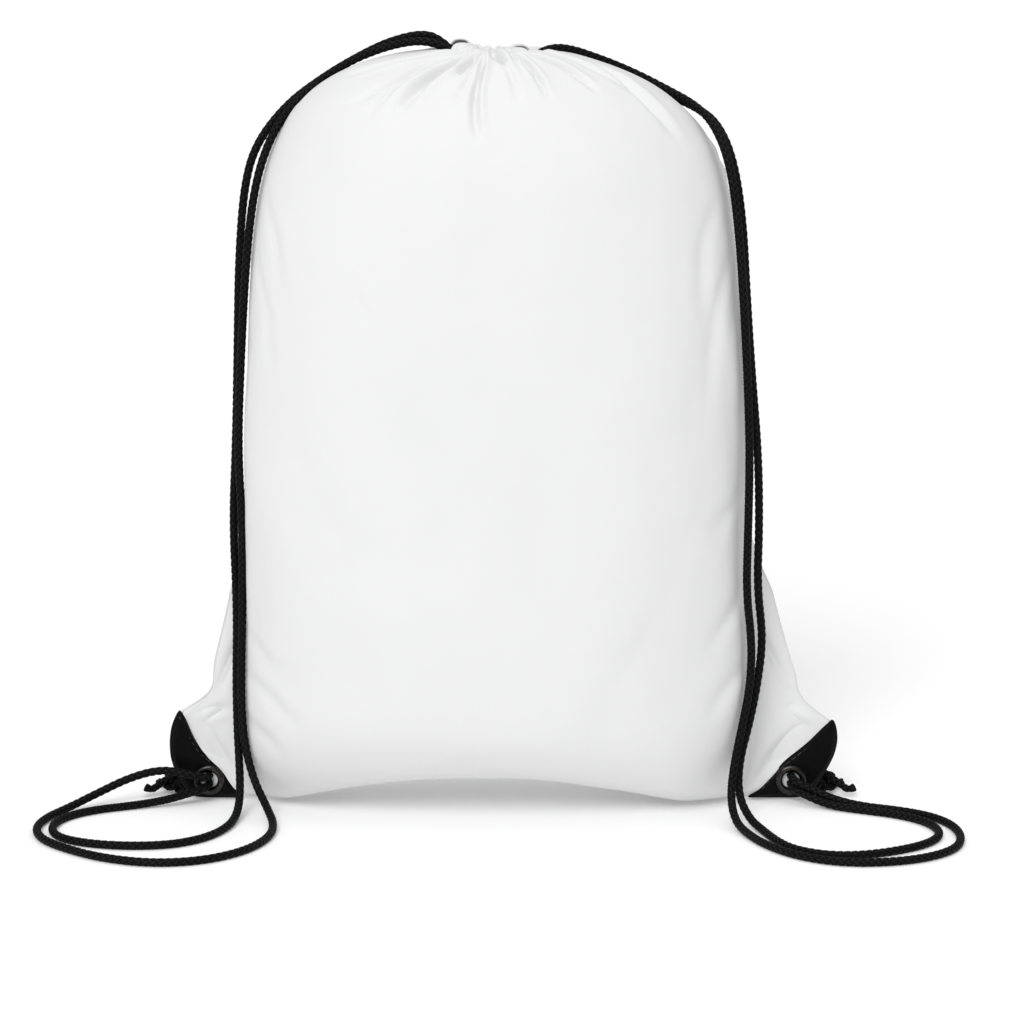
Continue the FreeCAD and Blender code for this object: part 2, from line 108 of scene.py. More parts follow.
# Creases of the cloth: depth, width and the points that they run through, in millimetres.
FRONT_CREASES = [
    (
        5.2,
        2.7,
        [(-15, -21, 389), (-21, -29, 385), (-27, -32, 383), (-36, -37, 377), (-44, -43, 369), (-48, -46, 363)],
    ),
    (4.6, 2.2, [(-11, -22, 389), (-12, -27, 387), (-16, -33, 383), (-20, -37, 379)]),
    (4.2, 1.7, [(-6, -19, 390), (-9, -35, 382), (-12, -47, 369), (-12, -54, 358), (-10, -58, 350)]),
    (4.4, 1.9, [(-5, -21, 390), (-1, -26, 388), (3, -31, 385)]),
    (3.2, 1.5, [(3, -23, 389), (11, -26, 387), (20, -39, 377), (23, -46, 369)]),
    (3.0, 1.6, [(8, -20, 390), (17, -22, 388), (32, -27, 383), (47, -37, 372)]),
    (1.7, 1.9, [(-8, -19, 390), (-14, -39, 378), (-22, -49, 366)]),
    (1.5, 1.9, [(-3, -19, 390), (6, -39, 379), (10, -49, 367)]),
    (2.2, 1.8, [(-29, -18, 389), (-42, -19, 387), (-59, -19, 383), (-75, -17, 377)]),
    (2.5, 1.9, [(-24, -24, 387), (-36, -27, 384), (-51, -34, 375), (-70, -37, 365)]),
    (2.0, 1.8, [(-26, -27, 386), (-39, -31, 381), (-53, -38, 372), (-63, -43, 361)]),
    (3.0, 2.8, [(50, -15, 382), (62, -21, 376), (70, -27, 369), (78, -30, 361), (87, -35, 351)]),
    (1.6, 2.0, [(24, -12, 388), (38, -17, 384), (52, -22, 378), (66, -28, 370)]),
    (1.1, 5.0, [(118, -40, 320), (108, -52, 300), (104, -56, 276), (108, -54, 250)]),
    (1.0, 4.5, [(122, -30, 292), (113, -48, 270), (108, -53, 240), (106, -55, 214)]),
    (0.9, 4.0, [(-124, -30, 318), (-116, -44, 300), (-112, -49, 276)]),
    (0.8, 4.0, [(-127, -27, 290), (-120, -42, 262), (-117, -47, 232)]),
    (0.6, 2.2, [(-71, -69, 276), (-67, -70, 268), (-64, -71, 258)]),
    (1.2, 3.6, [(-129, -16, 96), (-120, -42, 84), (-108, -56, 78)]),
    (1.5, 3.6, [(-129, -18, 74), (-122, -40, 66), (-112, -52, 56), (-102, -56, 50)]),
    (1.3, 3.4, [(-129, -14, 52), (-123, -36, 44), (-113, -46, 34)]),
    (1.1, 4.2, [(126, -28, 120), (119, -46, 104), (110, -57, 92)]),
    (1.2, 4.0, [(126, -26, 84), (119, -44, 70), (109, -54, 58)]),
    (0.9, 4.5, [(126, -30, 170), (118, -49, 158), (112, -56, 150)]),
    (2.0, 2.6, [(134, -2, 92), (142, -2, 74), (150, -2, 62)]),
    (2.4, 2.1, [(150, -2, 50), (157, -2, 49), (163, -2, 44)]),
    (2.0, 2.3, [(-134, -2, 88), (-141, -2, 72), (-146, -2, 60)]),
    (2.2, 2.1, [(-140, -2, 50), (-148, -2, 48), (-156, -2, 43)]),
    (2.6, 4.2, [(134, -2, 12), (143, -2, 24), (152, -2, 32), (160, -2, 38)]),
    (2.2, 3.8, [(-139, -2, 16), (-146, -2, 25), (-153, -2, 33), (-157, -2, 41)]),
    (1.6, 2.6, [(142, -2, 66), (150, -2, 57), (157, -2, 51), (164, -2, 46)]),
]
BACK_CREASES = [
    (4.0, 2.6, [(-20, 17, 391), (-30, 27, 386), (-41, 35, 379), (-50, 41, 370), (-56, 44, 361)]),
    (3.4, 2.0, [(-10, 20, 392), (-13, 30, 386), (-18, 40, 377), (-21, 48, 367), (-22, 54, 356)]),
    (3.6, 2.2, [(2, 20, 393), (4, 30, 387), (3, 42, 376), (6, 52, 363), (8, 58, 350), (7, 62, 338)]),
    (2.8, 1.9, [(9, 17, 393), (15, 26, 388), (19, 33, 382)]),
    (3.4, 2.3, [(13, 13, 393), (24, 22, 388), (36, 31, 381), (46, 38, 372), (52, 42, 363)]),
    (1.0, 2.6, [(-27, 12, 392), (-42, 19, 388), (-58, 24, 382), (-72, 27, 375)]),
    (1.1, 3.4, [(40, 15, 386), (56, 22, 380), (72, 28, 370), (88, 32, 357), (98, 34, 343)]),
    (1.1, 5.0, [(-118, 42, 322), (-110, 52, 298), (-106, 57, 272)]),
    (1.0, 4.5, [(118, 42, 300), (110, 54, 276), (106, 57, 246)]),
    (0.7, 3.2, [(48, 72, 246), (54, 71, 232), (58, 71, 216)]),
    (1.4, 3.6, [(-129, 17, 92), (-120, 43, 78), (-108, 56, 68)]),
    (1.2, 3.4, [(-129, 15, 56), (-122, 38, 46), (-112, 47, 36)]),
    (1.4, 3.8, [(126, 20, 98), (119, 44, 84), (108, 56, 74)]),
    (1.2, 3.4, [(126, 16, 60), (120, 38, 50), (111, 47, 40)]),
    (1.4, 3.0, [(134, 2, 88), (143, 2, 72), (149, 2, 60)]),
    (1.6, 2.4, [(148, 2, 50), (156, 2, 48), (162, 2, 44)]),
    (1.4, 2.8, [(-134, 2, 92), (-140, 2, 74), (-146, 2, 62)]),
    (1.5, 2.4, [(-141, 2, 51), (-149, 2, 48), (-157, 2, 44)]),
]


# ---------------------------------------------------------------- meshes


def new_mesh(name, points, faces, smooth=True):
    mesh = bpy.data.meshes.new(name)
    mesh.from_pydata([tuple(p) for p in np.asarray(points).tolist()], [], faces)
    mesh.update()
    mesh.polygons.foreach_set("use_smooth", [smooth] * len(mesh.polygons))
    piece = bpy.data.objects.new(name, mesh)
    bpy.context.scene.collection.objects.link(piece)
    return piece


def grid_faces(rows, columns, round_columns=False, round_rows=False, start=0):
    """Quads of a grid of points, row by row, closed on itself where asked."""
    faces = []
    for i in range(rows if round_rows else rows - 1):
        for j in range(columns if round_columns else columns - 1):
            here = start + i * columns
            above = start + (i + 1) % rows * columns
            j2 = (j + 1) % columns
            faces.append((here + j, here + j2, above + j2, above + j))
    return faces


def set_uv(piece, values):
    """UVs from one (u, v) pair per vertex."""
    layer = piece.data.uv_layers.new(name="UVMap")
    corners = np.empty(len(piece.data.loops), np.int32)
    piece.data.loops.foreach_get("vertex_index", corners)
    layer.data.foreach_set("uv", np.asarray(values, float)[corners].ravel())


def place(piece, body, slot, material, *nodes):
    """Gives a finished piece its material and body, and hides the CAD nodes that it stands for; slot is not
    used.
    """
    piece.data.materials.clear()
    piece.data.materials.append(material)
    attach(piece, body)
    if nodes:
        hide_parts(*nodes)
    return piece


def unit(vectors):
    return vectors / np.maximum(np.linalg.norm(vectors, axis=-1, keepdims=True), 1e-12)


def respaced(line, step):
    """A line of points at equal steps along itself."""
    run = np.concatenate([[0], np.cumsum(np.linalg.norm(np.diff(line, axis=0), axis=1))])
    count = max(2, int(round(run[-1] / step)) + 1)
    at = np.linspace(0, run[-1], count)
    return np.stack([np.interp(at, run, line[:, k]) for k in range(3)], axis=1)


def frames_along(line):
    """Tangent, side and up at each point, carried along without twist."""
    tangents = unit(np.gradient(line, axis=0))
    up = np.cross(tangents[0], (0.3, 0.2, 1.0))
    ups = []
    for tangent in tangents:
        up = up - tangent * np.dot(up, tangent)
        up = up / np.linalg.norm(up)
        ups.append(up)
    ups = np.array(ups)
    return tangents, np.cross(tangents, ups), ups


# ---------------------------------------------------------------- the stuffed cloth


def smoothed(values, passes, axis=0):
    """Values evened out along one axis, with both ends kept."""
    values = np.moveaxis(values.copy(), axis, 0)
    for _ in range(passes):
        values[1:-1] = 0.25 * values[:-2] + 0.5 * values[1:-1] + 0.25 * values[2:]
    return np.moveaxis(values, 0, axis)


def body_rows():
    """BODY's rows, respaced along the cloth and evened out."""
    table = np.array(BODY)
    run = np.hypot(np.diff(table[:, 3]), np.diff(table[:, 0])) + 0.35 * np.abs(np.diff(table[:, 1]))
    run = np.concatenate([[0], np.cumsum(run)])
    low = np.linspace(0, run[-1] - NECK_REACH, LOW_ROWS)
    high = np.linspace(run[-1] - NECK_REACH, run[-1], NECK_ROWS + 1)[1:]
    at = np.concatenate([low, high])
    rows = np.stack([np.interp(at, run, column) for column in table.T], axis=1)
    rows[:, :5] = smoothed(rows[:, :5], 4)
    return rows


def edge_run(edge, body_edge, side):
    """The flat corner of one row, from the panel's edge in to the stuffed body."""
    share = np.linspace(0, 1, 14)[:-1]
    swell = np.sin(math.pi * share * 0.5) ** 2
    x = edge[0] + (body_edge[0] - edge[0]) * share
    z = edge[1] + (body_edge[1] - edge[1]) * share
    reach = min(1.0, abs(edge[0] - body_edge[0]) / 6.0)
    y = side * (0.6 * np.minimum(share * 8, 1) * reach + 3.0 * swell**4 * reach)
    return np.stack([x, y, z], axis=1)


def row_line(row, side):
    """One row of a panel, from its right edge round the body to its left edge."""
    height, left, right, depth, square, left_x, left_z, right_x, right_z = row
    angle = np.linspace(0, math.pi, 361)
    cosine, sine = np.cos(angle), np.sin(angle)
    x = np.where(cosine > 0, right, left) * np.sign(cosine) * np.abs(cosine) ** (2 / square)
    y = side * depth * np.abs(sine) ** (2 / square)
    body = np.stack([x, y, np.full_like(x, height)], axis=1)
    parts = [body]
    if right_x - right > 0.5:
        parts.insert(0, edge_run((right_x, right_z), (right, height), side))
    if left_x - left > 0.5:
        parts.append(edge_run((-left_x, left_z), (-left, height), side)[::-1])
    line = np.concatenate(parts)
    along = np.clip(np.abs(line[:, 0] - ARCH_MIDDLE) / ARCH_HALF_SPAN, 0, 1)
    line[:, 2] += ARCH_RISE * (1 - along**2) ** 1.1 * np.exp(-line[:, 2] / ARCH_FADE)
    run = np.concatenate([[0], np.cumsum(np.linalg.norm(np.diff(line, axis=0), axis=1))])
    at = np.linspace(0, run[-1], COLUMNS + 1)
    return np.stack([np.interp(at, run, line[:, k]) for k in range(3)], axis=1)


def start_panel(side):
    rows = body_rows()
    grid = np.array([row_line(row, side) for row in rows])
    grid[:, 0, 1] = 0
    grid[:, -1, 1] = 0
    grid[0, :, 1] = 0
    return grid * MM


def soften(grid, passes):
    """Evens out a panel's inside along both ways, and keeps its edges."""
    for _ in range(passes):
        grid[:, 1:-1] = 0.25 * grid[:, :-2] + 0.5 * grid[:, 1:-1] + 0.25 * grid[:, 2:]
        grid[1:-1, 1:-1] = 0.25 * grid[:-2, 1:-1] + 0.5 * grid[1:-1, 1:-1] + 0.25 * grid[2:, 1:-1]
    return grid


# The cloth simulation.
SIM_FRAMES = 18
SIM_REACH = 1.2 * MM  # how far a point may move
PRESSURE = 0.5
CLOTH_SPARE = 0.004
SEAM_PUCKER = 0.07
EVEN_PASSES = 90  # what is still there after them is the slow change, which isn't kept
WRINKLE_SHARE = 0.32


def settle(front, back):
    """Both panels, sewn along their edges, swell under pressure as cloth does."""
    rows, columns = front.shape[:2]
    count = rows * columns
    number = np.arange(count).reshape(rows, columns)
    back_number = number + count
    back_number[0] = number[0]
    back_number[:, 0] = number[:, 0]
    back_number[:, -1] = number[:, -1]
    points = np.concatenate([front.reshape(-1, 3), back.reshape(-1, 3)])
    faces = []
    for index, turn in ((number, 1), (back_number, -1)):
        for i in range(rows - 1):
            for j in range(columns - 1):
                quad = (index[i, j], index[i, j + 1], index[i + 1, j + 1], index[i + 1, j])
                faces.append(tuple(int(v) for v in quad[::turn]))
    used = np.unique(np.array(faces))
    new_number = np.full(len(points), -1)
    new_number[used] = np.arange(len(used))
    faces = [tuple(int(new_number[v]) for v in quad) for quad in faces]
    cloth = new_mesh("cloth_settling", points[used], faces)

    near_seam = np.zeros((rows, columns))
    near_seam[:, 0] = near_seam[:, -1] = 1
    near_seam[:, 1] = near_seam[:, -2] = 0.5
    near_seam[0] = 1
    held = np.zeros((rows, columns))
    held[-4:] = 1
    for group, weights in (("seam", near_seam), ("held", held)):
        both = np.concatenate([weights.ravel(), weights.ravel()])[used]
        made = cloth.vertex_groups.new(name=group)
        for value in np.unique(both):
            if value > 0:
                made.add([int(v) for v in np.nonzero(both == value)[0]], float(value), "REPLACE")
    points = points[used]
    patch = (np.abs(points[:, 0]) > 0.140) & (points[:, 2] < 0.040)
    cloth.vertex_groups["held"].add([int(v) for v in np.nonzero(patch)[0]], 1.0, "REPLACE")

    modifier = cloth.modifiers.new("Cloth", "CLOTH")
    settings = modifier.settings
    settings.quality = 5
    settings.mass = 0.4
    settings.tension_stiffness = 60
    settings.compression_stiffness = 30
    settings.shear_stiffness = 8
    settings.bending_stiffness = 0.05
    settings.use_pressure = True
    settings.uniform_pressure_force = PRESSURE
    settings.vertex_group_mass = "held"
    settings.vertex_group_shrink = "seam"
    settings.shrink_min = -CLOTH_SPARE
    settings.shrink_max = SEAM_PUCKER
    settings.effector_weights.gravity = 0
    modifier.collision_settings.use_self_collision = False
    modifier.point_cache.frame_start = 1
    modifier.point_cache.frame_end = SIM_FRAMES
    for frame_number in range(1, SIM_FRAMES + 1):
        bpy.context.scene.frame_set(frame_number)
    settled = bpy.data.meshes.new_from_object(
        cloth.evaluated_get(bpy.context.evaluated_depsgraph_get())
    )
    moved = np.empty(len(settled.vertices) * 3)
    settled.vertices.foreach_get("co", moved)
    moved = moved.reshape(-1, 3)
    bpy.data.objects.remove(cloth)
    bpy.context.scene.frame_set(1)

    shift = moved - points
    both = ((front, number), (back, back_number))
    return tuple(wrinkled(panel, shift[new_number[index]]) for panel, index in both)


def wrinkled(panel, shift):
    """A panel with the simulation's wrinkles, without its slow change of the stuffed shape."""
    slow = smoothed(smoothed(shift, EVEN_PASSES, 0), EVEN_PASSES, 1)
    quick = smoothed(smoothed(shift - slow, 6, 0), 6, 1)
    rows = np.arange(len(panel))[:, None, None]
    quick = WRINKLE_SHARE * quick * np.clip((len(panel) - 26 - rows) / 14, 0, 1)
    far = np.linalg.norm(quick, axis=2, keepdims=True)
    return panel + quick * np.minimum(1, SIM_REACH / np.maximum(far, 1e-9))


def doubled(grid):
    """A grid with a point between each two, on smooth curves through its own points."""
    for axis in (0, 1):
        g = np.moveaxis(grid, axis, 0)
        padded = np.concatenate([2 * g[:1] - g[1:2], g, 2 * g[-1:] - g[-2:-1]])
        middle = (9 * (padded[1:-2] + padded[2:-1]) - padded[:-3] - padded[3:]) / 16
        out = np.empty((2 * len(g) - 1, *g.shape[1:]))
        out[::2] = g
        out[1::2] = middle
        grid = np.moveaxis(out, 0, axis)
    return grid


def grid_normals(grid, outward):
    """Unit normals of a panel's grid, on the side that outward points to along Y."""
    across = np.gradient(grid, axis=1)
    along = np.gradient(grid, axis=0)
    normals = unit(np.cross(across, along))
    middle = normals[normals.shape[0] // 2, normals.shape[1] // 2]
    return normals if middle[1] * outward > 0 else -normals


def crease(grid, normals, depth, width, points):
    """How far one crease draws each point of the grid inwards, with a low ridge on one side."""
    flat = grid.reshape(-1, 3)
    line = np.array([flat[np.argmin(((flat - np.array(p) * MM) ** 2).sum(1))] for p in points])
    line = respaced(line, 2.0 * MM)
    line = smoothed(line, 8)
    share = np.linspace(0, 1, len(line))
    low = line.min(0) - 12 * MM
    high = line.max(0) + 12 * MM
    near = np.nonzero(((flat > low) & (flat < high)).all(1))[0]
    gap = flat[near, None, :] - line[None, :, :]
    distance = np.linalg.norm(gap, axis=2)
    nearest = distance.argmin(1)
    rows = np.arange(len(near))
    distance = distance[rows, nearest]
    tangent = unit(np.gradient(line, axis=0))[nearest]
    side = np.sign((np.cross(tangent, gap[rows, nearest]) * normals.reshape(-1, 3)[near]).sum(1))
    fade = np.sin(math.pi * np.clip(share[nearest] * 0.94 + 0.03, 0, 1)) ** 0.7
    width = width * MM * (0.75 + 0.5 * share[nearest])
    valley = -1.2 * np.exp(-((distance / width) ** 2))
    ridge = 0.34 * np.exp(-(((distance - 1.7 * width) / (1.1 * width)) ** 2)) * (0.6 + 0.4 * side)
    shift = np.zeros(len(flat))
    shift[near] = depth * MM * fade * (valley + ridge)
    return shift.reshape(grid.shape[:2])


def waves(points, lengths, seed):
    """Soft, uneven waves through space, about -1 to 1."""
    random = np.random.default_rng(seed)
    total = np.zeros(points.shape[:-1])
    for length in lengths:
        for _ in range(3):
            way = unit(random.normal(size=3))
            bend = unit(random.normal(size=3))
            phase = random.uniform(0, 6.28)
            curve = 0.9 * np.sin(points @ bend * (3.1 / length) + phase * 2)
            total += np.sin(points @ way * (6.283 / length) + phase + curve) / (3 * len(lengths))
    return total


GATHERS = [(17, 0.4, 1.0), (23, 2.1, 0.7), (31, 4.4, 0.45)]  # folds round the mouth, phase, share


def gathers(angle):
    """The cloth's folds round the mouth, about -1 to 1, with narrow valleys."""
    total = np.zeros_like(angle)
    for folds, phase, share in GATHERS:
        total += share * (1.3 * np.abs(np.sin(0.5 * (folds * angle + phase))) - 0.85)
    return total


PRESS_FROM = 0.362  # only cloth above this height is pressed
PRESS_UNDER = 0.0024  # below a cord's middle
PRESS_CURVE = 95.0  # how fast the groove's sides rise, per metre


def pressed(grid, cords):
    """The cloth drawn down to pass under the cords that lie over the bag's shoulders."""
    flat = grid.reshape(-1, 3)
    high = np.nonzero(flat[:, 2] > PRESS_FROM)[0]
    for line in cords:
        line = line[line[:, 2] > PRESS_FROM]
        distance = np.linalg.norm(flat[high, None, :2] - line[None, :, :2], axis=2)
        nearest = distance.argmin(1)
        distance = distance[np.arange(len(high)), nearest]
        limit = line[nearest, 2] - PRESS_UNDER + PRESS_CURVE * distance**2
        flat[high, 2] = np.minimum(flat[high, 2], limit)
    return flat.reshape(grid.shape)


def dress(grid, side, creases, cords):
    """A panel's fine grid with its creases, gathers and slight unevenness."""
    grid = doubled(grid)
    normals = grid_normals(grid, side)
    shift = np.zeros(grid.shape[:2])
    for depth, width, points in creases:
        shift += crease(grid, normals, depth, width, points)
    away = grid - np.array([NECK_X, 0, NECK_Z]) * MM
    reach = np.linalg.norm(away, axis=2)
    angle = np.arctan2(away[..., 1], away[..., 0])
    close = np.exp(-(((reach - 20 * MM) / (13 * MM)) ** 2))
    shift += 1.3 * MM * gathers(angle) * close
    shift += 0.55 * MM * waves(grid, (0.09, 0.05), 3) * np.clip(1 - close, 0, 1)
    shift += 0.16 * MM * waves(grid, (0.022, 0.013), 11) * np.clip(1 - close, 0, 1)
    column = np.arange(grid.shape[1])
    from_edge = np.minimum(column, grid.shape[1] - 1 - column) / 6.0
    from_low = np.arange(grid.shape[0])[:, None] / 6.0
    shift *= np.clip(np.minimum(from_edge[None, :], from_low), 0, 1)
    grid = pressed(grid + normals * shift[..., None], cords)
    grid[..., 2] = np.maximum(grid[..., 2], 0.3 * MM)
    return grid


def panel(name, grid, side):
    """One panel as cloth with a thickness: outer face, inner face, and the edges between them."""
    rows, columns = grid.shape[:2]
    inner = grid - grid_normals(grid, side) * CLOTH_THICK * MM
    inner[..., 2] = np.maximum(inner[..., 2], 0.3 * MM + CLOTH_THICK * MM * 0.5)
    for edge in (0, -1):
        inner[:, edge, 1] = side * CLOTH_THICK * MM
    inner[0, :, 1] = side * CLOTH_THICK * MM
    count = rows * columns
    faces = grid_faces(rows, columns)
    faces += [tuple(v + count for v in quad[::-1]) for quad in faces]
    border = [j for j in range(columns)]
    border += [i * columns + columns - 1 for i in range(1, rows)]
    border += [(rows - 1) * columns + j for j in range(columns - 2, -1, -1)]
    border += [i * columns for i in range(rows - 2, 0, -1)]
    for a, b in zip(border, border[1:] + border[:1]):
        faces.append((b, a, a + count, b + count))
    if side > 0:
        faces = [quad[::-1] for quad in faces]
    piece = new_mesh(name, np.concatenate([grid.reshape(-1, 3), inner.reshape(-1, 3)]), faces)
    across = np.linspace(0, PANEL_FLAT[0], columns)[None, :].repeat(rows, 0)
    along = np.linspace(0, PANEL_FLAT[1], rows)[:, None].repeat(columns, 1)
    uv = np.stack([across.ravel(), along.ravel()], axis=1)
    set_uv(piece, np.concatenate([uv, uv]))
    return piece


# The hem round the mouth: two tunnels that the cords run in.
HEM_SIDE_ANGLE = 19.0  # half of each side opening, in degrees
HEM_MIDDLE = (15.6, 384.2)  # radius and height of the tunnel's middle
HEM_HALF = (6.2, 8.4)
HEM_WALL = 0.9
HEM_STEPS = 150
HEM_ROUND = 36
HEM_BUMP = 1.5  # the mouth's left side stands this much higher, and its right side this much lower
HEM_DIP = 2.8  # how far it sags at the front and the back


def hem(name, front):
    """One tunnel: a gathered tube of cloth round half of the mouth, open at both ends."""
    start = math.radians(HEM_SIDE_ANGLE + (180 if front else 0))
    angles = np.linspace(start, start + math.pi - 2 * math.radians(HEM_SIDE_ANGLE), HEM_STEPS)
    turn = np.linspace(0, 2 * math.pi, HEM_ROUND, endpoint=False)
    rings = []
    for inset in (0.0, HEM_WALL):
        for angle in angles if inset == 0 else angles[::-1]:
            fold = gathers(np.array([angle]))[0]
            slow = math.sin(3 * angle + 1.1) + 0.6 * math.sin(5 * angle + 0.3)
            outward, upward = np.cos(turn), np.sin(turn)
            radius = HEM_MIDDLE[0] + (HEM_HALF[0] - inset) * np.sign(outward) * np.abs(outward) ** 0.7
            height = HEM_MIDDLE[1] + (HEM_HALF[1] - inset) * np.sign(upward) * np.abs(upward) ** 0.8
            radius = radius + 1.1 * fold * np.clip(outward + 0.35, 0, 1)
            lift = fold + 0.55 * slow + HEM_BUMP * math.cos(angle - math.pi) ** 3
            lift = lift - HEM_DIP * math.sin(angle) ** 2
            height = height + lift * np.clip(upward, 0, 1)
            rings.append(
                np.stack([NECK_X + radius * math.cos(angle), radius * math.sin(angle), height], axis=1)
            )
    rings = np.array(rings)
    points = rings.reshape(-1, 3) * MM
    faces = grid_faces(len(rings), HEM_ROUND, round_columns=True, round_rows=True)
    piece = new_mesh(name, points, [quad[::-1] for quad in faces])
    around = np.concatenate([angles, angles[::-1]])[:, None].repeat(HEM_ROUND, 1) * 0.055
    along = turn[None, :].repeat(len(rings), 0) * 0.008
    set_uv(piece, np.stack([around.ravel(), along.ravel()], axis=1))
    return piece


# ---------------------------------------------------------------- cords

CORD = 0.004
CORD_SWELL = 0.00018  # how far the braid's tops stand out of the plain tube
CORD_STEP = 0.0006
CORD_ROUND = 28
BRAID_PLAITS = 4  # strands each way round the cord
BRAID_PITCH = 0.0145  # along the cord, for one turn of a strand
BRAID_DEPTH = 0.0007


def route_line(points):
    """The smooth line of a route, read from its NURBS spline."""
    curve = bpy.data.curves.new("route", "CURVE")
    curve.dimensions = "3D"
    curve.resolution_u = 16
    spline = curve.splines.new("NURBS")
    spline.points.add(len(points) - 1)
    for point, place_at in zip(spline.points, points):
        point.co = (*place_at, 1)
    spline.order_u = 3
    spline.use_endpoint_u = True
    holder = bpy.data.objects.new("route", curve)
    bpy.context.scene.collection.objects.link(holder)
    bpy.context.view_layer.update()
    mesh = bpy.data.meshes.new_from_object(holder)
    line = np.array([v.co[:] for v in mesh.vertices])
    bpy.data.objects.remove(holder)
    bpy.data.meshes.remove(mesh)
    return line


def braid(angle, run):
    """Height of a braided surface: strands of two ways that pass over and under each other."""
    first = BRAID_PLAITS * (angle / (2 * math.pi) + run / BRAID_PITCH)
    second = BRAID_PLAITS * (angle / (2 * math.pi) - run / BRAID_PITCH)
    over = (np.floor(first) + np.floor(second)) % 2
    one = np.sin(math.pi * (first % 1)) ** 0.6
    two = np.sin(math.pi * (second % 1)) ** 0.6
    return np.where(over > 0.5, one, two)


def braided_tube(name, line, radius, shrink=None):
    """A closed tube with a braid worked into its surface, along a line of close points."""
    tangents, sides, ups = frames_along(line)
    run = np.concatenate([[0], np.cumsum(np.linalg.norm(np.diff(line, axis=0), axis=1))])
    turn = np.linspace(0, 2 * math.pi, CORD_ROUND, endpoint=False)
    angle = turn[None, :].repeat(len(line), 0)
    lift = braid(angle, run[:, None].repeat(CORD_ROUND, 1))
    reach = radius + CORD_SWELL - BRAID_DEPTH * (1 - lift)
    if shrink is not None:
        reach = reach * shrink[:, None]
    points = (
        line[:, None, :]
        + sides[:, None, :] * (np.cos(angle) * reach)[..., None]
        + ups[:, None, :] * (np.sin(angle) * reach)[..., None]
    )
    faces = grid_faces(len(line), CORD_ROUND, round_columns=True)
    count = len(line) * CORD_ROUND
    caps = np.array([line[0] - tangents[0] * 0.0006, line[-1] + tangents[-1] * 0.0006])
    last = (len(line) - 1) * CORD_ROUND
    for j in range(CORD_ROUND):
        j2 = (j + 1) % CORD_ROUND
        faces.append((j2, j, count))
        faces.append((last + j, last + j2, count + 1))
    piece = new_mesh(name, np.concatenate([points.reshape(-1, 3), caps]), faces)
    uv = np.stack([angle / (2 * math.pi), run[:, None].repeat(CORD_ROUND, 1)], axis=2).reshape(-1, 2)
    set_uv(piece, np.concatenate([uv, [[0.5, 0.0], [0.5, run[-1]]]]))
    return piece


# ---------------------------------------------------------------- knots, on the +X side

KNOT_PLACE = (0.1705, 0.0112, 0.0064)
KNOT_CORD = 0.0036
KNOT_RING = 0.0036
KNOT_TUBE = 0.0023
KNOT_STEP = 0.0004


def knot_line(side):
    """A pulled-tight overhand knot: a line that winds three times through its own ring."""
    share = np.linspace(0.02, 0.98, 260) * 2 * math.pi
    ring = KNOT_RING + KNOT_TUBE * np.cos(3 * share)
    x = ring * np.cos(2 * share) * 1.12
    z = ring * np.sin(2 * share) * 0.92
    y = KNOT_TUBE * 0.95 * np.sin(3 * share)
    lean = math.radians(24)
    leaned_x = x * math.cos(lean) - y * math.sin(lean)
    leaned_y = x * math.sin(lean) + y * math.cos(lean)
    points = np.stack([leaned_x, leaned_y, z], 1)
    points += np.array(KNOT_PLACE)
    points[:, 0] *= side
    return points


TAILS = [  # the cord's two ends beyond the knot
    [
        (0.1745, 0.0102, 0.0082),
        (0.1775, 0.0090, 0.0072),
        (0.1805, 0.0078, 0.0044),
        (0.1836, 0.0064, 0.0032),
        (0.1862, 0.0058, 0.0048),
    ],
    [
        (0.1735, 0.0149, 0.0052),
        (0.1758, 0.0180, 0.0036),
        (0.1782, 0.0212, 0.0024),
        (0.1812, 0.0246, 0.0022),
    ],
]


def tied_knot(name, side):
    """The knot's turns and its two frayed tails, joined as one piece."""
    lines = [knot_line(side)]
    for tail in TAILS:
        lines.append(route_line([(side * x, y, z) for x, y, z in tail]))
    made = []
    for index, line in enumerate(lines):
        line = respaced(line, KNOT_STEP)
        share = np.linspace(0, 1, len(line))
        flare = None
        if index:
            flare = 1 + 0.16 * np.clip((share - 0.72) / 0.28, 0, 1) ** 2
        made.append(braided_tube(f"{name}_{index}", line, KNOT_CORD / 2, flare))
    join(made)
    made[0].name = name
    return made[0]


def join(pieces):
    """Makes the first piece hold them all."""
    with bpy.context.temp_override(active_object=pieces[0], selected_editable_objects=pieces):
        bpy.ops.object.join()


# ---------------------------------------------------------------- corner patches, on the +X side

EYELET_X = 152.0
EYELET_Z = 11.0
PATCH_HALF = 2.6
PATCH_RIM = 1.2  # half thickness at the folded and cut edges
PATCH_SHOULDER = 4.5  # how far in from the edge the patch is at its full thickness
PATCH_OUTLINES = {
    "left": [
        (164.0, 44.6),
        (166.8, 48.8),
        (169.4, 44.6),
        (171.6, 38.6),
        (172.6, 31.0),
        (172.2, 22.0),
        (169.2, 13.0),
        (164.6, 5.6),
        (160.6, 1.4),
        (154.0, 0.8),
        (144.0, 0.8),
        (134.6, 0.8),
        (137.4, 4.6),
        (140.6, 11.0),
        (144.6, 17.6),
        (150.4, 22.2),
        (155.4, 26.4),
        (159.8, 33.8),
    ],
    "right": [
        (170.4, 41.2),
        (173.8, 43.6),
        (175.8, 38.4),
        (176.4, 31.4),
        (174.8, 24.0),
        (171.2, 16.4),
        (166.6, 8.8),
        (161.6, 2.2),
        (156.0, 0.8),
        (146.0, 0.8),
        (134.0, 0.8),
        (128.6, 0.9),
        (133.8, 5.0),
        (139.4, 11.8),
        (145.6, 18.6),
        (153.0, 24.6),
        (161.0, 31.2),
    ],
}
PATCH_RAYS = 200
PATCH_RINGS = 24
PATCH_HOLE = 4.9


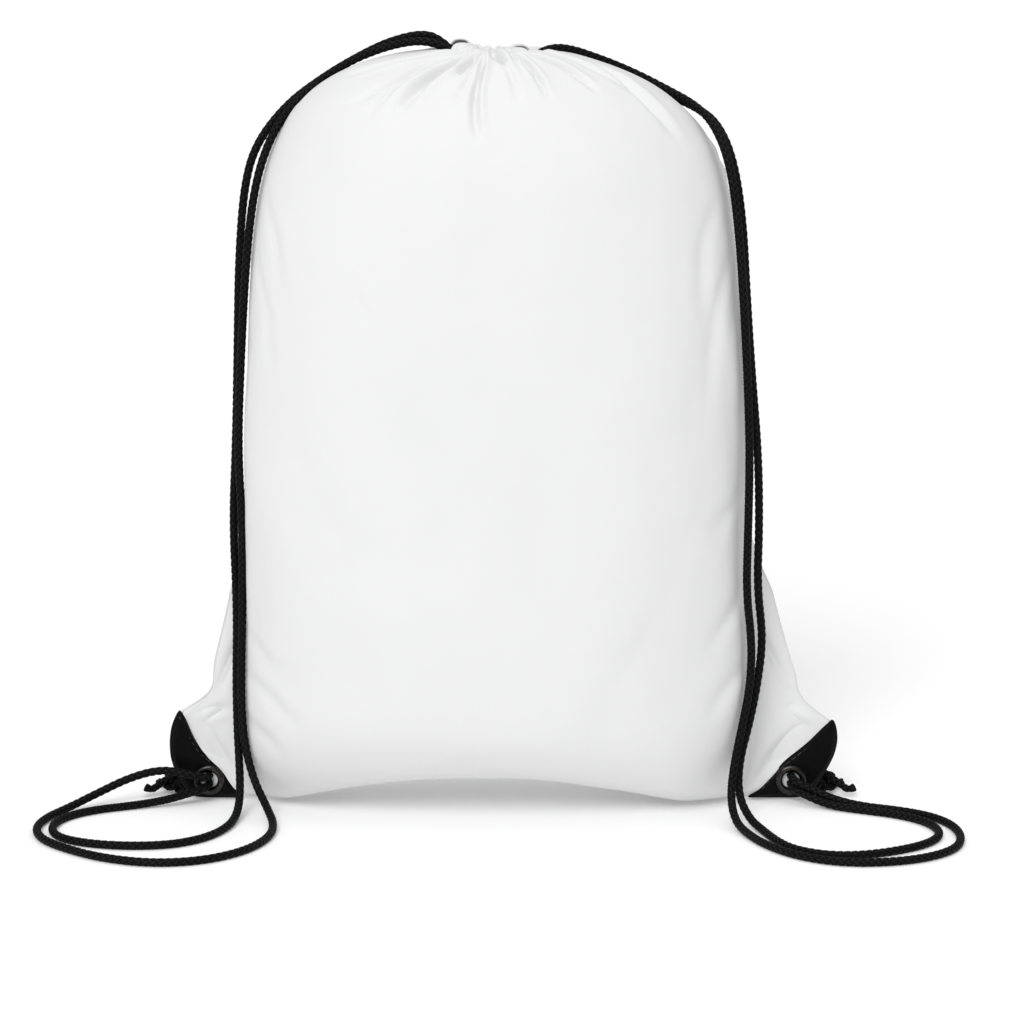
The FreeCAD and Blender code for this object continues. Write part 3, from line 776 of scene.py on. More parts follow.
def rounded_loop(outline, count):
    """A closed outline with its corners rounded, as equally spaced points."""
    line = np.array(outline)
    for _ in range(3):
        after = np.roll(line, -1, axis=0)
        line = np.stack([0.78 * line + 0.22 * after, 0.22 * line + 0.78 * after], axis=1).reshape(-1, 2)
    line = np.concatenate([line, line[:1]])
    run = np.concatenate([[0], np.cumsum(np.linalg.norm(np.diff(line, axis=0), axis=1))])
    at = np.linspace(0, run[-1], count, endpoint=False)
    return np.stack([np.interp(at, run, line[:, k]) for k in range(2)], axis=1)


def corner_patch(name, side):
    """A leather-like patch folded round the corner, pierced for the eyelet, thinner at its edges."""
    outline = rounded_loop(PATCH_OUTLINES["right" if side > 0 else "left"], PATCH_RAYS)
    away = outline - np.array([EYELET_X, EYELET_Z])
    reach = np.linalg.norm(away, axis=1)
    way = away / reach[:, None]
    rows = []
    for share in np.linspace(0, 1, PATCH_RINGS):
        radius = PATCH_HOLE + (reach - PATCH_RIM - PATCH_HOLE) * share
        near = np.clip((reach - PATCH_RIM - radius) / PATCH_SHOULDER, 0, 1)
        half = PATCH_RIM + (PATCH_HALF - PATCH_RIM) * (1 - (1 - near) ** 2)
        rows.append((radius, half, near))
    points, evenness = [], []
    for radius, half, near in rows:
        points.append((radius, -half))
        evenness.append(-near)
    for degrees in (-60, -30, 0, 30, 60):
        turned = math.radians(degrees)
        points.append((reach - PATCH_RIM * (1 - math.cos(turned)), PATCH_RIM * math.sin(turned) + 0 * reach))
        evenness.append(0 * reach)
    for radius, half, near in rows[::-1]:
        points.append((radius, half))
        evenness.append(near)
    radii = np.array([radius for radius, _ in points])
    grid = np.empty((len(points), PATCH_RAYS, 3))
    grid[..., 0] = side * (EYELET_X + radii * way[:, 0])
    grid[..., 1] = np.array([y for _, y in points])
    grid[..., 2] = EYELET_Z + radii * way[:, 1]
    from_hole = np.clip((radii - PATCH_HOLE) / 4, 0, 1)
    dimple = np.exp(-(((radii - PATCH_HOLE) / 3.2) ** 2)) * 0.25
    uneven = 0.4 * waves(grid * MM, (0.022, 0.011), 5 if side > 0 else 9) * from_hole
    grid[..., 1] += np.array(evenness) * (uneven - dimple)
    faces = grid_faces(len(points), PATCH_RAYS, round_columns=True, round_rows=True)
    piece = new_mesh(name, grid.reshape(-1, 3) * MM, faces)
    fix_outside(piece)
    set_uv(piece, (grid[..., (0, 2)] * MM).reshape(-1, 2))
    return piece


# ---------------------------------------------------------------- eyelets, on the +X side

EYELET_PROFILE = [  # radius, distance along Y
    (4.55, 3.9),
    (4.5, 0.0),
    (4.5, -2.6),
    (4.75, -3.3),
    (5.4, -3.75),
    (6.3, -3.85),
    (7.2, -3.6),
    (7.8, -3.1),
    (8.0, -2.65),
    (7.7, -2.45),
    (6.9, -2.6),
    (5.5, -2.55),
    (5.3, 0.0),
    (5.3, 2.9),
    (5.45, 3.45),
    (6.3, 3.5),
    (6.75, 3.75),
    (6.5, 4.15),
    (5.7, 4.3),
    (4.9, 4.2),
]
WASHER_PROFILE = [
    (5.45, 2.7),
    (7.3, 2.65),
    (8.0, 2.7),
    (8.05, 3.0),
    (7.7, 3.35),
    (6.9, 3.42),
    (5.45, 3.35),
]
LATHE_STEPS = 96


def lathed(name, profile, side):
    """A profile turned round the eyelet's axis."""
    line = np.array(profile)
    for _ in range(2):
        after = np.roll(line, -1, axis=0)
        line = np.stack([0.75 * line + 0.25 * after, 0.25 * line + 0.75 * after], axis=1).reshape(-1, 2)
    angles = np.linspace(0, 2 * math.pi, LATHE_STEPS, endpoint=False)
    points = np.empty((len(line), LATHE_STEPS, 3))
    points[..., 0] = side * (EYELET_X + line[:, :1] * np.cos(angles))
    points[..., 1] = line[:, 1:]
    points[..., 2] = EYELET_Z + line[:, :1] * np.sin(angles)
    faces = grid_faces(len(line), LATHE_STEPS, round_columns=True, round_rows=True)
    piece = new_mesh(name, points.reshape(-1, 3) * MM, faces)
    fix_outside(piece)
    around = np.linspace(0, 1, LATHE_STEPS)[None, :].repeat(len(line), 0)
    along = np.linspace(0, 1, len(line))[:, None].repeat(LATHE_STEPS, 1)
    uv = np.stack([around, along], axis=2)
    set_uv(piece, uv.reshape(-1, 2))
    return piece


def fix_outside(piece):
    """Turns a closed piece's faces outwards."""
    mesh = piece.data
    volume = 0.0
    for polygon in mesh.polygons:
        a, b, c = (mesh.vertices[v].co for v in polygon.vertices[:3])
        volume += a.dot(b.cross(c))
        if len(polygon.vertices) == 4:
            d = mesh.vertices[polygon.vertices[3]].co
            volume += a.dot(c.cross(d))
    if volume < 0:
        mesh.flip_normals()


# ---------------------------------------------------------------- stitches

THREAD = 0.6


def stitches(name, places, arch=0.55):
    """Short lengths of twisted thread, each from one end to the other, dipping at both."""
    points, faces, uvs = [], [], []
    share = np.linspace(0, 1, 11)
    for start, end, outward in places:
        start, end, outward = (np.array(v, float) for v in (start, end, outward))
        line = start + (end - start) * share[:, None]
        line = line + outward * (arch * np.sin(math.pi * share)[:, None] ** 0.6 - 0.35) * THREAD
        tangents, sides, ups = frames_along(line)
        turn = np.linspace(0, 2 * math.pi, 10, endpoint=False)
        twist = turn[None, :] + share[:, None] * 5.0
        reach = THREAD / 2 * (1 - 0.16 * np.abs(np.sin(twist * 1.5)))
        ring = (
            line[:, None]
            + sides[:, None] * (np.cos(turn)[None, :] * reach)[..., None]
            + ups[:, None] * (np.sin(turn)[None, :] * reach)[..., None]
        )
        first = len(points)
        points.extend(ring.reshape(-1, 3))
        faces += grid_faces(len(share), 10, round_columns=True, start=first)
        faces.append(tuple(first + j for j in range(9, -1, -1)))
        faces.append(tuple(first + (len(share) - 1) * 10 + j for j in range(10)))
        uvs.extend(np.stack([np.tile(turn / 6.283, len(share)), np.repeat(share, 10)], axis=1))
    piece = new_mesh(name, np.array(points) * MM, faces)
    fix_outside(piece)
    set_uv(piece, uvs)
    return piece


STITCH = 2.6
STITCH_PITCH = 3.7
STITCH_INSET = 1.8
PATCH_EDGES = {
    "left": [(148.6, 20.8), (155.4, 26.4), (159.8, 33.8), (164.6, 44.4)],
    "right": [(133.8, 5.0), (139.4, 11.8), (145.6, 18.6), (153.0, 24.6), (161.0, 31.2), (169.0, 39.4)],
}


def patch_stitches(name, side):
    """Stitches along the patch's slanting edge, on both faces."""
    edge = np.array([(x, 0, z) for x, z in PATCH_EDGES["right" if side > 0 else "left"]])
    line = respaced(smoothed(respaced(edge, 0.5), 30), STITCH_PITCH)
    tangents = unit(np.gradient(line, axis=0))
    inward = np.stack([tangents[:, 2], 0 * tangents[:, 0], -tangents[:, 0]], axis=1)
    places = []
    for middle, along, inside in zip(line[1:], tangents[1:], inward[1:]):
        middle = middle + inside * STITCH_INSET
        for face in (-1, 1):
            lift = np.array([0, face * (PATCH_HALF - 0.45), 0])
            ends = [middle + lift - along * STITCH / 2, middle + lift + along * STITCH / 2]
            ends = [end * np.array([side, 1, 1]) for end in ends]
            places.append((*ends, (0, face, 0)))
    return stitches(name, places)


HEM_STITCHES = 12
HEM_STITCH_RADIUS = 22.3
HEM_STITCH_Z = 376.5


def hem_stitches(name, front):
    places = []
    start = math.radians(22 + (180 if front else 0))
    for i in range(HEM_STITCHES):
        angle = start + math.radians(136) * (i + 0.5) / HEM_STITCHES
        outward = np.array([math.cos(angle), math.sin(angle), 0])
        along = np.array([-math.sin(angle), math.cos(angle), 0])
        middle = outward * HEM_STITCH_RADIUS + np.array([NECK_X, 0, HEM_STITCH_Z])
        places.append((middle - along * STITCH / 2, middle + along * STITCH / 2, outward))
    return stitches(name, places)


# ---------------------------------------------------------------- sewn edges inside the bag

SEAM_WIDTH = 8.0
SEAM_THICK = 1.2
SEAM_WAVE = 0.5


def seam_strip(name, outer, inward, wave):
    """The panels' two turned-in edges: a strip from a line, along inward, slightly wavy at its free edge."""
    outer = respaced(np.array(outer, float), 3.0)
    inward = np.array(inward)
    shares = np.linspace(0, 1, 5)
    run = np.linspace(0, 1, len(outer))
    loops = []
    for share in shares:
        middle = outer + inward * (SEAM_WIDTH * share)
        sway = wave * share * np.sin(run * 60) + 0.6 * wave * share * np.sin(run * 23 + 1)
        loops.append((middle, sway))
    ring = [m + np.stack([0 * s, s - SEAM_THICK / 2, 0 * s], axis=1) for m, s in loops]
    ring += [m + np.stack([0 * s, s + SEAM_THICK / 2, 0 * s], axis=1) for m, s in loops[::-1]]
    points = np.stack(ring, axis=1)
    columns = points.shape[1]
    faces = grid_faces(len(outer), columns, round_columns=True)
    faces.append(tuple(range(columns)))
    faces.append(tuple((len(outer) - 1) * columns + j for j in range(columns - 1, -1, -1)))
    piece = new_mesh(name, points.reshape(-1, 3) * MM, faces, smooth=False)
    fix_outside(piece)
    around = np.linspace(0, 0.018, columns)[None, :].repeat(len(outer), 0)
    along = np.linspace(0, 0.003 * len(outer), len(outer))[:, None].repeat(columns, 1)
    set_uv(piece, np.stack([around.ravel(), along.ravel()], axis=1))
    return piece


# ---------------------------------------------------------------- materials


class Nodes:
    """A material's node tree, built call by call."""

    def __init__(self, name):
        self.material = bpy.data.materials.new(name)
        self.material.use_nodes = True
        self.tree = self.material.node_tree
        self.shader = self.tree.nodes["Principled BSDF"]

    def add(self, kind, **values):
        node = self.tree.nodes.new(kind)
        for key, value in values.items():
            if key in node.inputs:
                node.inputs[key].default_value = value
            else:
                setattr(node, key, value)
        return node

    def link(self, source, target):
        self.tree.links.new(source, target)

    def math(self, operation, a, b=None):
        node = self.add("ShaderNodeMath", operation=operation)
        for socket, value in zip(node.inputs, (a, b)):
            if value is None:
                continue
            if isinstance(value, (int, float)):
                socket.default_value = value
            else:
                self.link(value, socket)
        return node.outputs[0]

    def uv(self):
        node = self.add("ShaderNodeUVMap", uv_map="UVMap")
        split = self.add("ShaderNodeSeparateXYZ")
        self.link(node.outputs[0], split.inputs[0])
        return split.outputs[0], split.outputs[1]

    def noise(self, scale, detail=3.0, rough=0.55, from_uv=False):
        node = self.add("ShaderNodeTexNoise", Scale=scale, Detail=detail, Roughness=rough)
        if from_uv:
            self.link(self.add("ShaderNodeUVMap", uv_map="UVMap").outputs[0], node.inputs["Vector"])
        else:
            self.link(self.add("ShaderNodeTexCoord").outputs["Object"], node.inputs["Vector"])
        return node.outputs["Fac"]

    def ramp(self, value, stops):
        node = self.add("ShaderNodeValToRGB")
        self.link(value, node.inputs[0])
        elements = node.color_ramp.elements
        while len(elements) < len(stops):
            elements.new(0.5)
        for element, (at, colour) in zip(elements, stops):
            element.position = at
            element.color = (*colour, 1) if len(colour) == 3 else colour
        return node.outputs["Color"]

    def bump(self, height, strength, distance, under=None):
        node = self.add("ShaderNodeBump", Strength=strength, Distance=distance)
        self.link(height, node.inputs["Height"])
        if under is not None:
            self.link(under, node.inputs["Normal"])
        return node.outputs["Normal"]

    def to_range(self, value, low, high, out_low, out_high):
        node = self.add("ShaderNodeMapRange")
        self.link(value, node.inputs["Value"])
        for key, number in (("From Min", low), ("From Max", high), ("To Min", out_low), ("To Max", out_high)):
            node.inputs[key].default_value = number
        return node.outputs["Result"]


WEAVE_PITCH = 0.00055  # one thread and the gap beside it
CLOTH_COLOUR = (0.80, 0.801, 0.805)
CLOTH_SHADE = (0.785, 0.786, 0.792)


def grey(value, warm=0.0):
    return (value + warm, value, value - warm)


def white_cloth(name):
    """Thin white polyester: a fine plain weave, faint shade from the fabric's fullness, soft sheen."""
    n = Nodes(name)
    u, v = n.uv()
    across = n.math("SINE", n.math("MULTIPLY", u, 2 * math.pi / WEAVE_PITCH))
    along = n.math("SINE", n.math("MULTIPLY", v, 2 * math.pi / WEAVE_PITCH))
    weave = n.math("MULTIPLY", across, along)
    slub = n.noise(900.0, 2.0)
    patches = n.noise(14.0, 3.0)
    colour = n.ramp(patches, [(0.3, CLOTH_SHADE), (0.7, CLOTH_COLOUR)])
    n.link(colour, n.shader.inputs["Base Color"])
    n.link(n.to_range(n.noise(60.0, 2.0), 0.3, 0.7, 0.52, 0.64), n.shader.inputs["Roughness"])
    soft = n.bump(n.noise(120.0, 4.0, 0.6), 0.10, 0.0012)
    threads = n.bump(weave, 0.10, 0.00012, soft)
    n.link(n.bump(slub, 0.05, 0.0002, threads), n.shader.inputs["Normal"])
    n.shader.inputs["Specular IOR Level"].default_value = 0.35
    n.shader.inputs["Sheen Weight"].default_value = 0.12
    n.shader.inputs["Sheen Roughness"].default_value = 0.4
    return n.material


def braid_yarn():
    """Black braided polyester: each strand of fine yarn, with painted shade darkening the base colour where
    strands dive under.
    """
    n = Nodes("black_braid")
    u, v = n.uv()
    turns = n.math("MULTIPLY", v, 1 / BRAID_PITCH)
    first = n.math("MULTIPLY", n.math("ADD", u, turns), float(BRAID_PLAITS))
    second = n.math("MULTIPLY", n.math("SUBTRACT", u, turns), float(BRAID_PLAITS))
    pieces = []
    for way in (first, second):
        pieces.append(n.math("SINE", n.math("MULTIPLY", n.math("FRACT", way), math.pi)))
    over = n.math("MODULO", n.math("ADD", n.math("FLOOR", first), n.math("FLOOR", second)), 2.0)
    over = n.math("ABSOLUTE", over)
    one = n.math("MULTIPLY", pieces[0], over)
    two = n.math("MULTIPLY", pieces[1], n.math("SUBTRACT", 1.0, over))
    height = n.math("ADD", one, two)
    fine = n.math("SINE", n.math("MULTIPLY", n.math("ADD", n.math("MULTIPLY", first, 7.0), v), 6.283))
    fuzz = n.noise(2600.0, 2.0)
    # Painted shade: the base colour is darkest in the grooves between strands and lightest on their tops; the
    # fuzz adds random tone.
    tone = n.math("ADD", n.math("MULTIPLY", height, 0.75), n.math("MULTIPLY", fuzz, 0.3))
    colour = n.ramp(tone, [(0.35, grey(0.0001)), (0.7, grey(0.0015)), (1.0, grey(0.011))])
    n.link(colour, n.shader.inputs["Base Color"])
    n.link(n.to_range(tone, 0.3, 1.0, 0.85, 0.42), n.shader.inputs["Roughness"])
    rounded = n.bump(height, 0.55, 0.0004)
    n.link(n.bump(fine, 0.2, 0.00008, n.bump(fuzz, 0.25, 0.0001, rounded)), n.shader.inputs["Normal"])
    n.shader.inputs["Specular IOR Level"].default_value = 0.13
    n.shader.inputs["Sheen Weight"].default_value = 0.004
    n.shader.inputs["Sheen Roughness"].default_value = 0.5
    return n.material


def leather_like():
    """Black coated reinforcement: a fine pebbled grain, a little lighter where it is rubbed."""
    n = Nodes("black_patch")
    cells = n.add("ShaderNodeTexVoronoi", Scale=1500.0, feature="DISTANCE_TO_EDGE")
    n.link(n.add("ShaderNodeTexCoord").outputs["Object"], cells.inputs["Vector"])
    pebble = n.to_range(cells.outputs["Distance"], 0.0, 0.25, 0.0, 1.0)
    rub = n.noise(170.0, 4.0, 0.6)
    n.link(n.ramp(rub, [(0.3, grey(0.0005)), (0.72, grey(0.002))]), n.shader.inputs["Base Color"])
    n.link(n.to_range(rub, 0.3, 0.7, 0.30, 0.46), n.shader.inputs["Roughness"])
    grain = n.bump(pebble, 0.35, 0.00018)
    n.link(n.bump(n.noise(90.0, 3.0), 0.22, 0.001, grain), n.shader.inputs["Normal"])
    n.shader.inputs["Specular IOR Level"].default_value = 0.09
    return n.material


def nickel():
    """Dark plated steel, lightly brushed and smudged."""
    n = Nodes("eyelet_nickel")
    smudge = n.noise(420.0, 4.0, 0.6)
    colour = n.ramp(smudge, [(0.3, grey(0.022, 0.002)), (0.7, grey(0.06, 0.002))])
    n.link(colour, n.shader.inputs["Base Color"])
    n.link(n.to_range(smudge, 0.3, 0.7, 0.2, 0.38), n.shader.inputs["Roughness"])
    n.link(n.bump(n.noise(1600.0, 2.0), 0.06, 0.0001), n.shader.inputs["Normal"])
    n.shader.inputs["Metallic"].default_value = 1.0
    return n.material


def thread(name, dark, light, rough):
    """Sewing thread: two plies twisted together, with painted shade darker in the grooves between the plies.
    """
    n = Nodes(name)
    u, v = n.uv()
    twist = n.math("SINE", n.math("ADD", n.math("MULTIPLY", u, 12.566), n.math("MULTIPLY", v, 15.0)))
    tone = n.to_range(twist, -1.0, 1.0, 0.0, 1.0)
    # Painted shade: the colour follows the twist's height, darker in the grooves between the plies.
    n.link(n.ramp(tone, [(0.1, grey(dark)), (0.8, grey(light))]), n.shader.inputs["Base Color"])
    n.link(n.to_range(n.noise(1200.0), 0.3, 0.7, rough - 0.06, rough + 0.06), n.shader.inputs["Roughness"])
    n.link(n.bump(twist, 0.4, 0.0001), n.shader.inputs["Normal"])
    n.shader.inputs["Sheen Weight"].default_value = 0.1
    return n.material


def floor_paint():
    """A plain, nearly white floor."""
    n = Nodes("studio_floor")
    tone = n.noise(3.0, 2.0)
    n.link(n.ramp(tone, [(0.3, grey(0.90)), (0.7, grey(0.91))]), n.shader.inputs["Base Color"])
    n.shader.inputs["Roughness"].default_value = 0.9
    n.shader.inputs["Specular IOR Level"].default_value = 0.1
    n.shader.inputs["Emission Color"].default_value = (1, 1, 1, 1)
    n.shader.inputs["Emission Strength"].default_value = 0.14
    return n.material


# ---------------------------------------------------------------- the studio


WORLD_STRENGTH = 0.38
LIGHTS = [  # the way to the light, its spread in degrees, and its strength
    ("key", (-0.22, -0.74, 0.64), 30, 1.62),
    ("top", (0.1, 0.15, 0.98), 70, 0.95),
]
FLOOR_REACH = 60


def soft_sun(name, way, spread, strength):
    data = bpy.data.lights.new(name, "SUN")
    data.angle = math.radians(spread)
    data.energy = strength
    light = bpy.data.objects.new(name, data)
    light.rotation_euler = Vector(way).to_track_quat("Z", "Y").to_euler()
    bpy.context.scene.collection.objects.link(light)


def studio():
    camera = bpy.data.cameras.new("camera")
    camera.angle = math.radians(CAMERA_FIELD)
    camera.clip_start = 0.01
    holder = bpy.data.objects.new("camera", camera)
    bpy.context.scene.collection.objects.link(holder)
    holder.location = CAMERA_PLACE
    holder.rotation_euler = (math.radians(90 - CAMERA_DOWN), 0, 0)
    bpy.context.scene.camera = holder

    world = bpy.data.worlds.new("studio")
    world.use_nodes = True
    background = world.node_tree.nodes["Background"]
    background.inputs["Color"].default_value = (1, 1, 1, 1)
    background.inputs["Strength"].default_value = WORLD_STRENGTH
    bpy.context.scene.world = world
    bpy.context.scene.view_settings.view_transform = "Standard"

    corners = [(x * FLOOR_REACH, y * FLOOR_REACH, 0) for x, y in ((-1, -1), (1, -1), (1, 1), (-1, 1))]
    floor = new_mesh("floor", corners, [(0, 1, 2, 3)])
    floor.data.materials.append(floor_paint())
    for name, way, spread, strength in LIGHTS:
        soft_sun(name, way, spread, strength)


# ---------------------------------------------------------------- the backpack


def build_bag(white):
    front, back = start_panel(-1), start_panel(1)
    front, back = soften(front, 3), soften(back, 3)
    front, back = settle(front, back)
    cords = []
    for _, side, *strands, height in STRAPS:
        ring = mouth_ring(side, height)
        for strand, way_in in zip(strands, (ring[0], ring[-1])):
            cords.append(respaced(route_line(strand[-10:] + [way_in]), 0.001))
    for name, grid, side, creases in (
        ("front_cloth", front, -1, FRONT_CREASES),
        ("back_cloth", back, 1, BACK_CREASES),
    ):
        piece = panel(name, dress(grid, side, creases, cords), side)
        place(piece, "bag", "bag_cloth", white, name.replace("cloth", "panel"))


PANEL_FLAT = (0.35, 0.47)  # metres, as cut, with the seam and hem allowance

# Each strand's route: from its knot through the eyelet, over the ground and up to the hem.
LEFT_FRONT_STRAND = [
    (-0.1672, 0.0108, 0.0078),
    (-0.1615, 0.0102, 0.0102),
    (-0.152, 0.0098, 0.0131),
    (-0.152, -0.0093, 0.0131),
    (-0.1625, -0.0102, 0.0165),
    (-0.176, -0.009, 0.0186),
    (-0.192, -0.0095, 0.0145),
    (-0.208, -0.014, 0.0076),
    (-0.222, -0.025, 0.0028),
    (-0.232, -0.042, 0.0021),
    (-0.235, -0.061, 0.0021),
    (-0.229, -0.08, 0.0021),
    (-0.215, -0.096, 0.0021),
    (-0.195, -0.112, 0.0021),
    (-0.17, -0.121, 0.0021),
    (-0.146, -0.117, 0.0021),
    (-0.127, -0.102, 0.0021),
    (-0.116, -0.08, 0.0021),
    (-0.114, -0.057, 0.0021),
    (-0.119, -0.037, 0.0055),
    (-0.127, -0.026, 0.018),
    (-0.1326, -0.018, 0.038),
    (-0.1336, -0.0135, 0.066),
    (-0.1322, -0.0125, 0.104),
    (-0.1316, -0.0125, 0.15),
    (-0.1334, -0.012, 0.188),
    (-0.131, -0.013, 0.236),
    (-0.1274, -0.018, 0.284),
    (-0.1228, -0.019, 0.321),
    (-0.1154, -0.01, 0.3456),
    (-0.1048, 0.0015, 0.3612),
    (-0.09, 0.0085, 0.3744),
    (-0.0745, 0.0085, 0.3836),
    (-0.061, 0.0045, 0.3892),
    (-0.05, 0.0005, 0.3924),
    (-0.04, -0.0026, 0.3939),
    (-0.0315, -0.0034, 0.3926),
]
LEFT_BACK_STRAND = [
    (-0.1672, 0.0108, 0.0052),
    (-0.1615, 0.0102, 0.0059),
    (-0.152, 0.0098, 0.0089),
    (-0.152, -0.0093, 0.0089),
    (-0.1625, -0.0115, 0.006),
    (-0.175, -0.0145, 0.0032),
    (-0.19, -0.0195, 0.0021),
    (-0.206, -0.026, 0.0021),
    (-0.219, -0.036, 0.0021),
    (-0.226, -0.049, 0.0021),
    (-0.2265, -0.064, 0.0021),
    (-0.22, -0.078, 0.0021),
    (-0.206, -0.087, 0.0021),
    (-0.186, -0.092, 0.0021),
    (-0.164, -0.09, 0.0021),
    (-0.148, -0.079, 0.0021),
    (-0.1386, -0.062, 0.0021),
    (-0.1348, -0.044, 0.0026),
    (-0.1338, -0.029, 0.0075),
    (-0.1344, -0.0185, 0.019),
    (-0.1358, -0.013, 0.039),
    (-0.1364, -0.009, 0.066),
    (-0.1354, -0.0075, 0.104),
    (-0.137, -0.0065, 0.15),
    (-0.1348, -0.0055, 0.19),
    (-0.1332, -0.005, 0.24),
    (-0.132, -0.0045, 0.284),
    (-0.1288, -0.003, 0.322),
    (-0.1226, 0.0015, 0.3428),
    (-0.1075, 0.0085, 0.3616),
    (-0.091, 0.0135, 0.3736),
    (-0.0755, 0.014, 0.383),
    (-0.0605, 0.0095, 0.3908),
    (-0.05, 0.006, 0.3946),
    (-0.04, 0.004, 0.3968),
    (-0.032, 0.0036, 0.3956),
]
RIGHT_FRONT_STRAND = [
    (0.1672, 0.0108, 0.0078),
    (0.1615, 0.0102, 0.0102),
    (0.152, 0.0098, 0.0131),
    (0.152, -0.0093, 0.0131),
    (0.161, -0.013, 0.0095),
    (0.172, -0.017, 0.005),
    (0.187, -0.0215, 0.0023),
    (0.205, -0.028, 0.0021),
    (0.221, -0.039, 0.0021),
    (0.23, -0.055, 0.0021),
    (0.232, -0.075, 0.0021),
    (0.227, -0.095, 0.0021),
    (0.213, -0.11, 0.0021),
    (0.192, -0.119, 0.0021),
    (0.168, -0.12, 0.0021),
    (0.147, -0.109, 0.0021),
    (0.133, -0.091, 0.0021),
    (0.125, -0.072, 0.0021),
    (0.1195, -0.056, 0.004),
    (0.1175, -0.046, 0.014),
    (0.1195, -0.041, 0.03),
    (0.124, -0.0365, 0.05),
    (0.128, -0.0315, 0.07),
    (0.1285, -0.031, 0.092),
    (0.125, -0.035, 0.118),
    (0.1255, -0.0345, 0.148),
    (0.126, -0.0335, 0.186),
    (0.1243, -0.034, 0.228),
    (0.1216, -0.0335, 0.27),
    (0.1188, -0.0295, 0.306),
    (0.1145, -0.0225, 0.336),
    (0.107, -0.0095, 0.354),
    (0.0975, 0.004, 0.3622),
    (0.0855, 0.0135, 0.3682),
    (0.0725, 0.017, 0.3748),
    (0.0595, 0.0165, 0.3806),
    (0.0475, 0.0135, 0.3852),
    (0.0375, 0.008, 0.3888),
    (0.029, 0.002, 0.3904),
    (0.0215, -0.002, 0.3888),
]
RIGHT_BACK_STRAND = [
    (0.1672, 0.0108, 0.0052),
    (0.1615, 0.0102, 0.0059),
    (0.152, 0.0098, 0.0089),
    (0.152, -0.0093, 0.0089),
    (0.1605, -0.0145, 0.0052),
    (0.1715, -0.021, 0.0024),
    (0.187, -0.028, 0.0021),
    (0.202, -0.035, 0.0021),
    (0.214, -0.045, 0.0021),
    (0.221, -0.058, 0.0021),
    (0.2215, -0.073, 0.0021),
    (0.214, -0.087, 0.0021),
    (0.2, -0.098, 0.0021),
    (0.181, -0.107, 0.0021),
    (0.162, -0.108, 0.0021),
    (0.146, -0.098, 0.0021),
    (0.138, -0.082, 0.0021),
    (0.133, -0.065, 0.0021),
    (0.127, -0.05, 0.0038),
    (0.1218, -0.041, 0.014),
    (0.1225, -0.035, 0.03),
    (0.1278, -0.0305, 0.049),
    (0.132, -0.0255, 0.068),
    (0.1348, -0.023, 0.092),
    (0.131, -0.027, 0.12),
    (0.1318, -0.026, 0.15),
    (0.1308, -0.0265, 0.187),
    (0.1268, -0.028, 0.228),
    (0.1236, -0.0275, 0.27),
    (0.1214, -0.023, 0.308),
    (0.1168, -0.016, 0.3365),
    (0.1095, -0.004, 0.353),
    (0.0995, 0.0095, 0.36),
    (0.087, 0.019, 0.3648),
    (0.0735, 0.0228, 0.371),
    (0.0605, 0.0225, 0.3766),
    (0.0485, 0.0195, 0.3812),
    (0.0385, 0.0145, 0.385),
    (0.03, 0.009, 0.3876),
    (0.022, 0.0044, 0.3874),
]


STRAPS = [  # name, side, its two strands, and its height inside the hem
    ("left", -1, LEFT_FRONT_STRAND, LEFT_BACK_STRAND, 0.3872),
    ("right", 1, RIGHT_FRONT_STRAND, RIGHT_BACK_STRAND, 0.383),
]
RING_SAG = 0.0032  # at the front and the back, with the hem
RING_EXIT = 0.0175
RING_RADIUS = 0.0165


def mouth_ring(side, height):
    """A cord's route inside the hem, from the front of its side opening round to the back."""
    exit_x = NECK_X * MM + side * RING_EXIT
    points = [(exit_x, -0.0028, height)]
    for degrees in range(210, 540, 30):
        angle = math.radians(degrees)
        sag = RING_SAG * math.sin(angle) ** 2
        x = NECK_X * MM - side * RING_RADIUS * math.cos(angle)
        points.append((x, RING_RADIUS * math.sin(angle), height - sag))
    points.append((exit_x, 0.0028, height))
    return points


BLEND_WAY = (0.2, 0.9, -0.4)  # from the eyelet's back towards the knot, on the -X side; X turns with the side


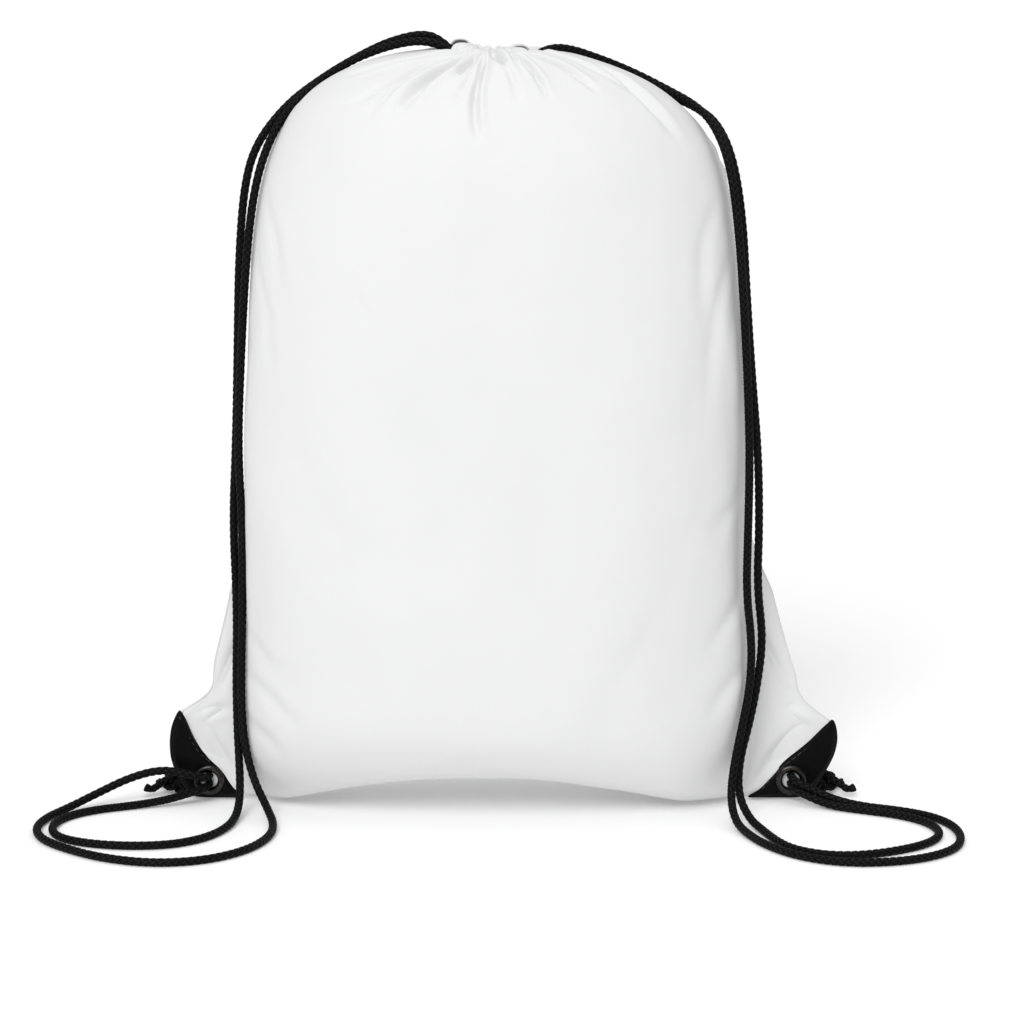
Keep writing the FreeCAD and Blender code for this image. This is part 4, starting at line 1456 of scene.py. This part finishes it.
def build_cords(yarn):
    for name, side, front_strand, back_strand, height in STRAPS:
        route = front_strand + mouth_ring(side, height) + back_strand[::-1]
        line = respaced(route_line(route), CORD_STEP)
        cord = braided_tube(f"{name}_braid", line, CORD / 2)
        knot = tied_knot(f"{name}_tied_knot", side)
        place(knot, f"{name}_knot", "cord_braid", yarn, f"{name}_knot")
        cord.data.materials.append(yarn)
        way = np.array([side * BLEND_WAY[0], BLEND_WAY[1], BLEND_WAY[2]])
        way = way / np.linalg.norm(way)
        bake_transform(cord)
        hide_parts(f"{name}_cord")


def build_corners(leather, metal, black):
    for name, side in (("left", -1), ("right", 1)):
        place(corner_patch(f"{name}_patch", side), "bag", "corner_patch", leather, f"{name}_corner_patch")
        ring = lathed(f"{name}_eyelet_ring", EYELET_PROFILE, side)
        place(ring, "bag", "eyelet_metal", metal, f"{name}_eyelet")
        washer = lathed(f"{name}_washer_ring", WASHER_PROFILE, side)
        place(washer, "bag", "eyelet_metal", metal, f"{name}_eyelet_washer")
        stitching = patch_stitches(f"{name}_patch_thread", side)
        place(stitching, "bag", "black_thread", black, f"{name}_patch_stitching")


def build_hem(white, white_thread):
    for name, front in (("front", True), ("back", False)):
        place(hem(f"{name}_hem", front), "bag", "bag_cloth", white, f"{name}_cord_channel")
        stitching = hem_stitches(f"{name}_hem_thread", front)
        place(stitching, "bag", "white_thread", white_thread, f"{name}_channel_stitching")


def build_inside(white):
    table = body_rows()
    for name, side, column in (("left", -1, 1), ("right", 1, 2)):
        rows = table[(table[:, 0] > 120) & (table[:, 0] < 345)]
        edge = [(side * (row[column] - 3.2), 0, row[0]) for row in rows]
        inward = (-side, 0.0, 0.0)
        strip = seam_strip(f"{name}_seam_strip", edge, inward, SEAM_WAVE)
        place(strip, "bag", "bag_cloth", white, f"{name}_side_seam")
    across = np.linspace(-97, 97, 60)
    share = np.clip(np.abs(across - ARCH_MIDDLE) / ARCH_HALF_SPAN, 0, 1)
    low = [(x, 0, 3.6 + ARCH_RISE * (1 - s**2) ** 1.1) for x, s in zip(across, share)]
    strip = seam_strip("bottom_seam_strip", low, (0.0, 0.0, 1.0), SEAM_WAVE)
    place(strip, "bag", "bag_cloth", white, "bottom_seam")


studio()
white = white_cloth("white_polyester")
yarn = braid_yarn()
build_cords(yarn)
build_bag(white)
build_hem(white, thread("white_thread", 0.62, 0.85, 0.6))
build_corners(leather_like(), nickel(), thread("black_thread", 0.006, 0.02, 0.5))
build_inside(white)
